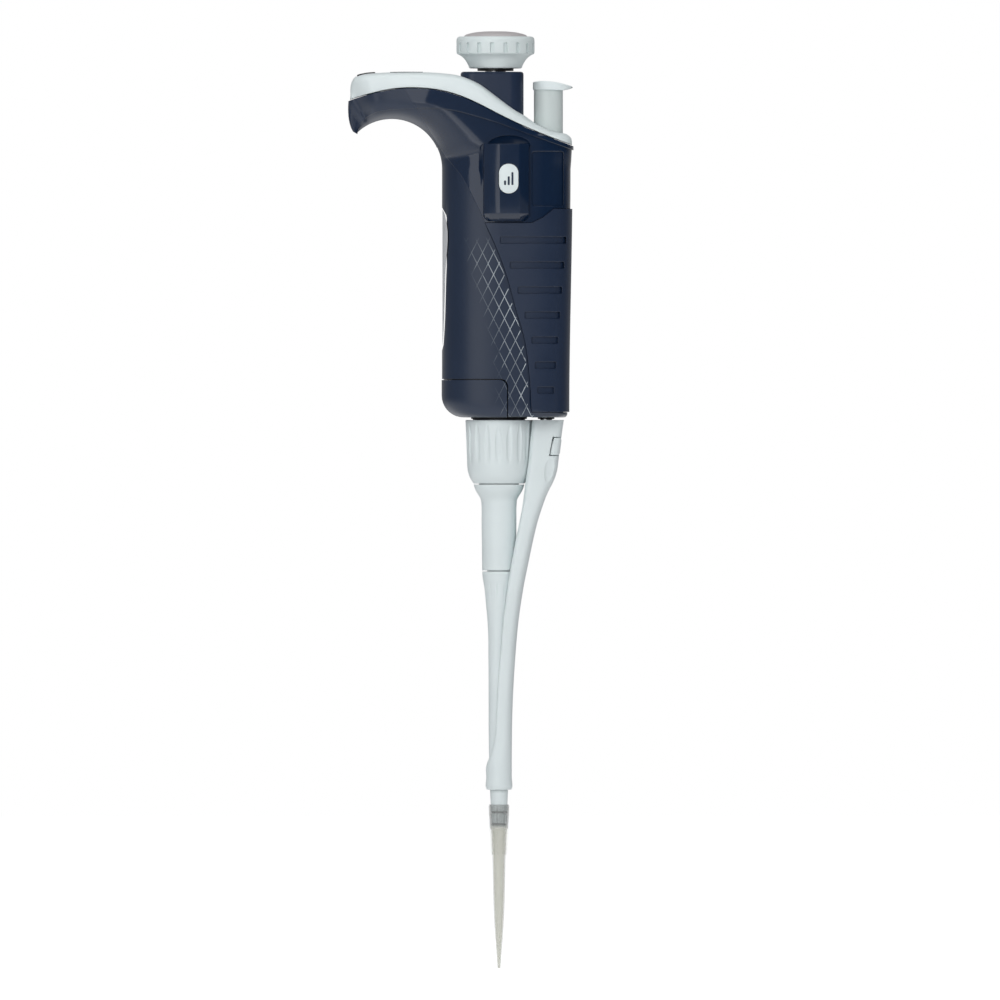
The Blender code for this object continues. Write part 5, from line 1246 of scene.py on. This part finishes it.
# Height, left side, right side, half width, left power and right power of each section
ARM_SECTIONS = [(-0.8, 10.1, 20.1, 5.5, 6.0, 4.0), (-4.0, 9.8, 19.6, 5.6, 6.0, 4.0),
                (-8.8, 9.3, 19.0, 5.9, 6.0, 4.0), (-13.6, 8.9, 18.4, 6.3, 6.0, 4.0),
                (-16.0, 8.6, 18.1, 6.5, 6.5, 3.8), (-18.3, 8.35, 17.5, 6.55, 6.5, 3.5),
                (-20.2, 8.15, 16.7, 6.6, 7.0, 3.2), (-23.1, 7.85, 15.2, 6.6, 7.0, 3.0),
                (-27.8, 7.2, 13.4, 6.7, 7.5, 2.8), (-32.6, 6.3, 11.9, 6.7, 8.0, 2.7),
                (-37.3, 5.3, 10.75, 6.7, 8.0, 2.6), (-42.0, 4.45, 9.75, 6.6, 8.0, 2.5),
                (-46.8, 3.5, 8.75, 6.4, 8.0, 2.4), (-51.5, 2.75, 7.8, 6.0, 8.0, 2.35),
                (-56.3, 2.1, 7.0, 5.5, 8.0, 2.3), (-61.0, 1.45, 6.3, 5.0, 8.0, 2.2),
                (-68.6, 0.7, 5.5, 4.7, 8.0, 2.2), (-75.0, 0.15, 5.0, 4.5, 8.0, 2.1),
                (-83.0, -0.5, 4.5, 4.35, 8.0, 2.0), (-93.2, -1.0, 4.1, 4.2, 8.0, 2.0),
                (-100.0, -1.5, 4.0, 4.1, 7.0, 2.0), (-105.1, -2.9, 3.95, 4.0, 4.0, 2.0),
                (-108.0, -3.95, 3.95, 3.95, 2.0, 2.0), (-112.0, -3.95, 3.95, 3.95, 2.0, 2.0),
                (-115.2, -3.93, 3.93, 3.93, 2.0, 2.0), (-115.4, -3.8, 3.8, 3.8, 2.0, 2.0)]
LATCH_TOP_Z = -6.3
LATCH_BOTTOM_Z = -11.7
LATCH_TRAVEL = 0.75
LATCH_GAP = 0.25
LATCH_PLAY = 0.1
LATCH_PROUD = 0.15
WEB_HALF_WIDTH = 3.0
WEB_GAP = 0.1
SKIRT = 0.45
BRIDGE_FRONT_X = 17.0
TONGUE_FRONT_X = 18.0
TONGUE_INSET = 0.5
THUMB_DENT_REACH = (3.2, 1.0, 5.6)


def arm_form(name, grow_width=0.0, grow_back=0.0):
    """The arm as one closed skin before it is hollowed."""
    rings = [section_ring(Vector((left, z)), Vector((right + grow_back, z)), half + grow_width,
                          left_power, right_power)
             for z, left, right, half, left_power, right_power in fair_curve(ARM_SECTIONS, ARM_STEPS)]
    return skin(name, rings)


def latch_outline(grow, reach_left=0.0):
    """Side outline of the latch, whose front edge leans."""
    return [(15.75 - grow - reach_left, LATCH_BOTTOM_Z - grow), (OUTSIDE, LATCH_BOTTOM_Z - grow),
            (OUTSIDE, LATCH_TOP_Z + grow), (16.85 - grow - reach_left, LATCH_TOP_Z + grow)]


arm = arm_form("ejector_arm_channel")
channel = [(0.0, OUTSIDE), (10.9, OUTSIDE), (10.9, -3.0), (10.35, -15.0), (10.1, -16.6), (9.6, -18.2),
           (8.9, -19.8), (8.35, -21.0), (7.9, -22.2), (7.2, -23.6), (6.5, -24.7), (6.05, -25.8),
           (5.95, -27.0), (5.75, -47.5), (5.42, -50.0), (4.97, -51.5), (4.62, -54.0), (4.32, -58.9),
           (3.72, -66.4), (3.42, -105.5), (3.4, -130.0), (0.0, -130.0)]
carve(arm, lathe("arm_channel", channel))
for low, high in ((-OUTSIDE, -WEB_HALF_WIDTH), (WEB_HALF_WIDTH, OUTSIDE)):
    carve(arm, prism("latch_slot", latch_outline(LATCH_GAP), low, high))
    cheek_slot = prism("cheek_slot", latch_outline(LATCH_GAP, LATCH_TRAVEL), low, high)
    carve(arm, carve(cheek_slot, arm_form("skirt_inside", -SKIRT), "INTERSECT"))
bridge_low, bridge_high = LATCH_BOTTOM_Z + LATCH_GAP, LATCH_TOP_Z - LATCH_GAP
bridge_slot = [(BRIDGE_FRONT_X, bridge_low), (OUTSIDE, bridge_low), (OUTSIDE, bridge_high),
               (BRIDGE_FRONT_X, bridge_high)]
carve(arm, prism("bridge_slot", bridge_slot, -OUTSIDE, OUTSIDE))
for side in (-1, 1):
    carve(arm, scoop("thumb_dent", (17.2, side * 6.6, -17.2), THUMB_DENT_REACH))
finish_piece(arm, cool_white, "ejector", "ejector_arm", angle=40)

latch_piece = carve(arm_form("ejector_press_latch", -SKIRT - LATCH_PLAY, LATCH_PROUD),
                    prism("latch_region", latch_outline(0.0), -OUTSIDE, OUTSIDE), "INTERSECT")
tongue_low, tongue_high = LATCH_BOTTOM_Z + TONGUE_INSET, LATCH_TOP_Z - TONGUE_INSET
web_space = [(0.0, -20.0), (OUTSIDE, -20.0), (OUTSIDE, tongue_low), (TONGUE_FRONT_X, tongue_low),
             (TONGUE_FRONT_X, tongue_high), (OUTSIDE, tongue_high), (OUTSIDE, 0.0), (0.0, 0.0)]
carve(latch_piece, prism("web_space", web_space, -WEB_HALF_WIDTH - WEB_GAP, WEB_HALF_WIDTH + WEB_GAP))
round_corners(latch_piece, 0.2, 3, angle=50)
finish_piece(latch_piece, cool_white, "latch", "ejector_latch")

# %% [markdown]
# ## Collar, nut and barrel
#
# These are all turned. The black collar shows as a dark line above the nut. The nut has eighteen long
# flutes with pointed ends, each the bite of one long thin ball, and a soft shoulder. The upper barrel
# flares into its seat, and the lower barrel tapers to the cone, with fine flutes where it narrows.

# %% Collar, bush and nut
NUT_TOP_Z = -0.8
NUT_BOTTOM_Z = -20.5
NUT_RADIUS = 10.4
NUT_FLUTE_COUNT = 18
SPIGOT_RADIUS = 8.1
COLLAR_BORE = 3.7
NUT_FLUTE_TURN = -8.6
NUT_FLUTE_CENTRE = (NUT_RADIUS + 0.30, 0.0, -9.4)
NUT_FLUTE_REACH = (1.05, 1.25, 7.2)

collar = lathe("black_collar", [(COLLAR_BORE, 12.0), (6.0, 12.0), (6.0, 4.3), (10.5, 4.3), (10.5, 2.3),
                                (COLLAR_RADIUS, 2.3), (COLLAR_RADIUS, -0.3), (COLLAR_RADIUS - 0.2, -0.5),
                                (SPIGOT_RADIUS, -0.5), (SPIGOT_RADIUS, -13.4), (COLLAR_BORE, -13.4)])
finish_piece(collar, black_plastic, "handle", "handle_collar")
bush = lathe("ejector_rod_bush", [(2.2, 3.9), (3.8, 3.9), (3.8, 2.3), (BUSH_RADIUS, 2.3),
                                  (BUSH_RADIUS, -0.35), (BUSH_RADIUS - 0.15, -0.5), (2.2, -0.5)], ROD_X, 64)
finish_piece(bush, black_plastic, "handle", "ejector_bush")

nut_profile = [(SPIGOT_RADIUS + GAP, NUT_TOP_Z), (NUT_RADIUS - 0.25, NUT_TOP_Z),
               (NUT_RADIUS - 0.07, NUT_TOP_Z - 0.07), (NUT_RADIUS, NUT_TOP_Z - 0.25)]
nut_profile += flat_curve([(9.85, -15.0), (9.7, -16.4), (9.4, -17.6), (8.95, -18.8), (8.4, -19.7),
                           (7.85, NUT_BOTTOM_Z)], 14)
nut_profile += [(6.5, NUT_BOTTOM_Z), (6.5, -16.3), (SPIGOT_RADIUS + GAP, -16.3)]
nut = lathe("fluted_nut", nut_profile, steps=144)
flutes = scoop("nut_flutes", NUT_FLUTE_CENTRE, NUT_FLUTE_REACH)
carve(nut, set_round(flutes, NUT_FLUTE_COUNT, NUT_FLUTE_TURN))
finish_piece(nut, cool_white, "connecting_nut", "connecting_nut", angle=50)

# %% Upper and lower barrel
CONE_TOP_Z = -120.0
CONE_LENGTH = 6.8
CONE_TOP_RADIUS = 2.6
CONE_END_RADIUS = 2.1
GROOVE_RADIUS = 1.63
GROOVE_HALF_WIDTH = 0.42
UPPER_RING_Z = -122.4
LOWER_RING_Z = -126.1
RING_BORE = 1.75
RING_HALF_WIDTH = 0.3
BARREL_FLUTE_COUNT = 12

upper_profile = [(3.9, -13.7), (8.0, -13.7), (8.0, -16.0), (6.2, -16.0), (6.2, -20.8)]
upper_profile += flat_curve([(7.85, -20.8), (7.5, -22.0), (6.8, -23.4), (6.1, -24.5), (5.6, -25.5),
                             (5.45, -27.0), (5.4, -32.0), (5.3, -42.0), (5.25, -47.3)], 40)
upper_profile += [(5.15, -47.45), (3.9, -47.45)]
upper = lathe("barrel_top", upper_profile, steps=128)
finish_piece(upper, cool_white, "handle", "upper_barrel")

lower_profile = [(2.2, -43.4), (3.6, -43.4), (3.6, -47.75), (5.1, -47.75)]
lower_profile += flat_curve([(5.2, -48.0), (5.1, -49.5), (4.65, -52.0), (4.3, -55.0), (4.0, -58.4),
                             (3.65, -62.0), (3.4, -66.2), (3.28, -75.0), (3.1, -105.0), (2.85, -114.0),
                             (CONE_TOP_RADIUS, CONE_TOP_Z)], 70)
for ring_z in (UPPER_RING_Z, LOWER_RING_Z):
    for z in (ring_z + GROOVE_HALF_WIDTH, ring_z - GROOVE_HALF_WIDTH):
        share = (CONE_TOP_Z - z) / CONE_LENGTH
        skin_point = (CONE_TOP_RADIUS + (CONE_END_RADIUS - CONE_TOP_RADIUS) * share, z)
        floor_point = (GROOVE_RADIUS, z)
        lower_profile += [skin_point, floor_point] if z > ring_z else [floor_point, skin_point]
lower_profile += [(2.1, -126.7), (2.05, -126.8), (0.9, -126.8), (0.9, -86.0), (2.2, -84.0)]
lower = lathe("barrel_cone", lower_profile, steps=96)
fine_flutes = scoop("cone_flutes", (4.95, 0.0, -60.5), (0.95, 0.55, 9.5))
carve(lower, set_round(fine_flutes, BARREL_FLUTE_COUNT, 8.0))
finish_piece(lower, cool_white, "handle", "lower_barrel", angle=40)

dark_rubber = moulded_plastic("dark_rubber", (0.035, 0.036, 0.036), 0.6, grain=0.1)
for ring_name, node, ring_z, outer in (("cone_seal_upper", "cone_ring_upper", UPPER_RING_Z, 2.47),
                                       ("cone_seal_lower", "cone_ring_lower", LOWER_RING_Z, 2.2)):
    top_z, bottom_z = ring_z + RING_HALF_WIDTH, ring_z - RING_HALF_WIDTH
    seal = lathe(ring_name, [(RING_BORE, bottom_z), (outer - 0.15, bottom_z), (outer, ring_z - 0.12),
                             (outer, ring_z + 0.12), (outer - 0.15, top_z), (RING_BORE, top_z)])
    finish_piece(seal, dark_rubber, "handle", node)

# %% [markdown]
# ## Disposable tip
#
# The tip is clear, slightly yellow polypropylene with a wall of 0.4 mm. Eight thin fins round its mouth
# centre it in the rack. The bore is part of the same turned outline, so the wall stays even down to the
# nozzle.

# %% Tip
TIP_TOP_Z = -120.0
TIP_BOTTOM_Z = -170.8
TIP_FIN_COUNT = 8
TIP_FIN_TURN = 11.0
TIP_FIN_HALF_THICKNESS = 0.2

tip_profile = [(2.82, TIP_TOP_Z), (3.05, TIP_TOP_Z), (3.1, TIP_TOP_Z - 0.08), (2.85, -127.0), (2.5, -127.9)]
tip_profile += flat_curve([(2.3, -128.7), (2.05, -135.5), (1.67, -151.4), (1.52, -155.3),
                           (0.5, -170.7)], 40)
tip_profile += [(0.45, TIP_BOTTOM_Z)]
tip_profile += flat_curve([(0.2, TIP_BOTTOM_Z), (1.12, -155.3), (1.27, -151.4), (1.65, -135.5),
                           (1.9, -128.7)], 36)
tip_profile += [(2.1, -127.9), (2.45, -127.0)]
clear_tip = lathe("clear_tip", tip_profile, steps=96)
fin_side = [(2.97, TIP_TOP_Z - 0.3), (3.2, TIP_TOP_Z - 0.3), (3.32, TIP_TOP_Z - 0.5), (2.57, -135.5),
            (1.87, -135.5), (2.12, -128.7), (2.32, -127.9), (2.66, -127.0)]
fins = prism("tip_fins", fin_side, -TIP_FIN_HALF_THICKNESS, TIP_FIN_HALF_THICKNESS)
set_round(fins, TIP_FIN_COUNT, TIP_FIN_TURN)
print("tip and", TIP_FIN_COUNT, "fins ready")

# %% [markdown]
# Clear polypropylene is drawn as a thin skin: each of its walls covers what lies behind it in part. The
# mouth, where the cone fills it, is painted a darker grey than the empty body below: painted shade that
# stands for the cone seen in shadow through the wall.

# %% Finish of the tip
MOUTH_SHADE_GREY = (0.48, 0.50, 0.49)
BODY_YELLOW = (0.70, 0.70, 0.60)
MOUTH_END_Z = -126.25
MOUTH_FADE = 1.25


def thin_polypropylene(name, cover):
    """Clear polypropylene whose walls cover what lies behind them in part, with painted shade at the mouth.
    """
    finish = moulded_plastic(name, (0.5, 0.5, 0.5), 0.22, grain=0.02, edge=0.05)
    tree = finish.node_tree
    shader = tree.nodes["Principled BSDF"]
    shader.inputs["Alpha"].default_value = cover
    x, z = side_view_places(tree)
    # Painted shade: the mouth is a darker grey, for the cone seen through the wall in shadow, fading into the
    # yellowish body.
    body_share = range_node(tree, z, MOUTH_END_Z, MOUTH_END_Z - MOUTH_FADE, 0.0, 1.0)
    tone = mix_node(tree, body_share, MOUTH_SHADE_GREY, BODY_YELLOW)
    tree.links.new(tone, shader.inputs["Base Color"])
    return finish


finish_piece(clear_tip, thin_polypropylene("clear_polypropylene", 0.36), "tip", "tip", angle=40)
finish_piece(fins, thin_polypropylene("fin_polypropylene", 0.12), "tip")

# %% [markdown]
# ## Springs
#
# Two steel coils push the knob and the ejector back up. A spring shortens when its button goes down, which
# a rigid piece can't do. Each coil is one wire section wound by the Screw modifier.

# %% Coil springs
KNOB_TRAVEL = 0.6
EJECTOR_TRAVEL = 8.0
WIRE_POINTS = 12
STEPS_PER_TURN = 24

steel = moulded_plastic("turned_steel", (0.56, 0.57, 0.58), 0.26, grain=0.08, grain_scale=1400.0,
                        wander=0.07)
steel.node_tree.nodes["Principled BSDF"].inputs["Metallic"].default_value = 1.0


def coil_spring(name, axis_x, radius, wire, low, high, turns):
    """A round wire wound into a helix between two heights, with closed ends."""
    bpy.ops.object.select_all(action="DESELECT")
    bpy.ops.mesh.primitive_circle_add(vertices=WIRE_POINTS, radius=1.0, location=(0.0, 0.0, 0.0))
    piece = bpy.context.object
    piece.name = name
    for point in piece.data.vertices:
        across, up = point.co.x * wire, point.co.y * wire
        point.co = ((radius + across) * MM, 0.0, (low + wire + up) * MM)
    winding = piece.modifiers.new("winding", "SCREW")
    winding.angle = 2 * pi * turns
    winding.screw_offset = (high - low - 2 * wire) * MM
    winding.steps = winding.render_steps = STEPS_PER_TURN * turns
    bpy.ops.object.modifier_apply(modifier=winding.name)
    bpy.ops.object.mode_set(mode="EDIT")
    bpy.ops.mesh.select_mode(type="EDGE")
    bpy.ops.mesh.select_all(action="DESELECT")
    bpy.ops.mesh.select_non_manifold()
    bpy.ops.mesh.edge_face_add()
    bpy.ops.object.mode_set(mode="OBJECT")
    for point in piece.data.vertices:
        point.co += at(axis_x, 0.0, 0.0)
    return turn_faces_out(piece)


# Each coil's axis, radius, wire radius, lower end, upper end and turns
KNOB_COIL = (KNOB_X, 3.9, 0.3, SPRING_SEAT_Z, 87.9, 4)
EJECTOR_COIL = (ROD_X, 3.1, 0.35, 42.3, 60.2, 8)

for name, node, joint, sizes, travel in (
        ("knob_coil", "knob_spring", "knob_press", KNOB_COIL, KNOB_TRAVEL),
        ("ejector_coil", "ejector_spring", "ejector_press", EJECTOR_COIL, EJECTOR_TRAVEL)):
    axis_x, radius, wire, low, high, turns = sizes
    spring = coil_spring(name, *sizes)
    finish_piece(spring, steel, "handle", node, angle=60)
    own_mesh(spring)

# %% [markdown]
# ## Parts that stay as packed
#
# The battery, boards, motor, piston and the frame inside keep their packed forms and get finishes of their
# own: turned steel with a fine grain, circuit boards, a shrink-wrapped cell and filled nylon.

# %% Finishes of the inside
circuit_board = moulded_plastic("circuit_board", (0.012, 0.085, 0.040), 0.42, grain=0.05, tone=0.35)
cell_wrap = moulded_plastic("cell_wrap", (0.03, 0.14, 0.42), 0.3, tone=0.15)
filled_nylon = moulded_plastic("filled_nylon", (0.022, 0.022, 0.024), 0.55, grain=0.15, tone=0.25)
for finish, names in ((steel, ("motor", "motor_shaft", "piston", "ejector_rod", "knob_stem")),
                      (circuit_board, ("main_board", "display_board", "wireless_board")),
                      (cell_wrap, ("battery",)),
                      (filled_nylon, ("chassis", "piston_coupling", "display_module")),
                      (dark_rubber, ("piston_seal",))):
    for name in names:
        node = nodes[name]
        node.data.materials.clear()
        node.data.materials.append(finish)
print("finishes of the inside ready")

# %% [markdown]
# ## Sizes and finish
# The imported model's box is printed.
# The visual model has to stay inside the imported model's box, so both boxes are written down to be compared.

# %% Print the packed box
print("packed box:", [round(value, 4) for corner in cad_bounds for value in corner])
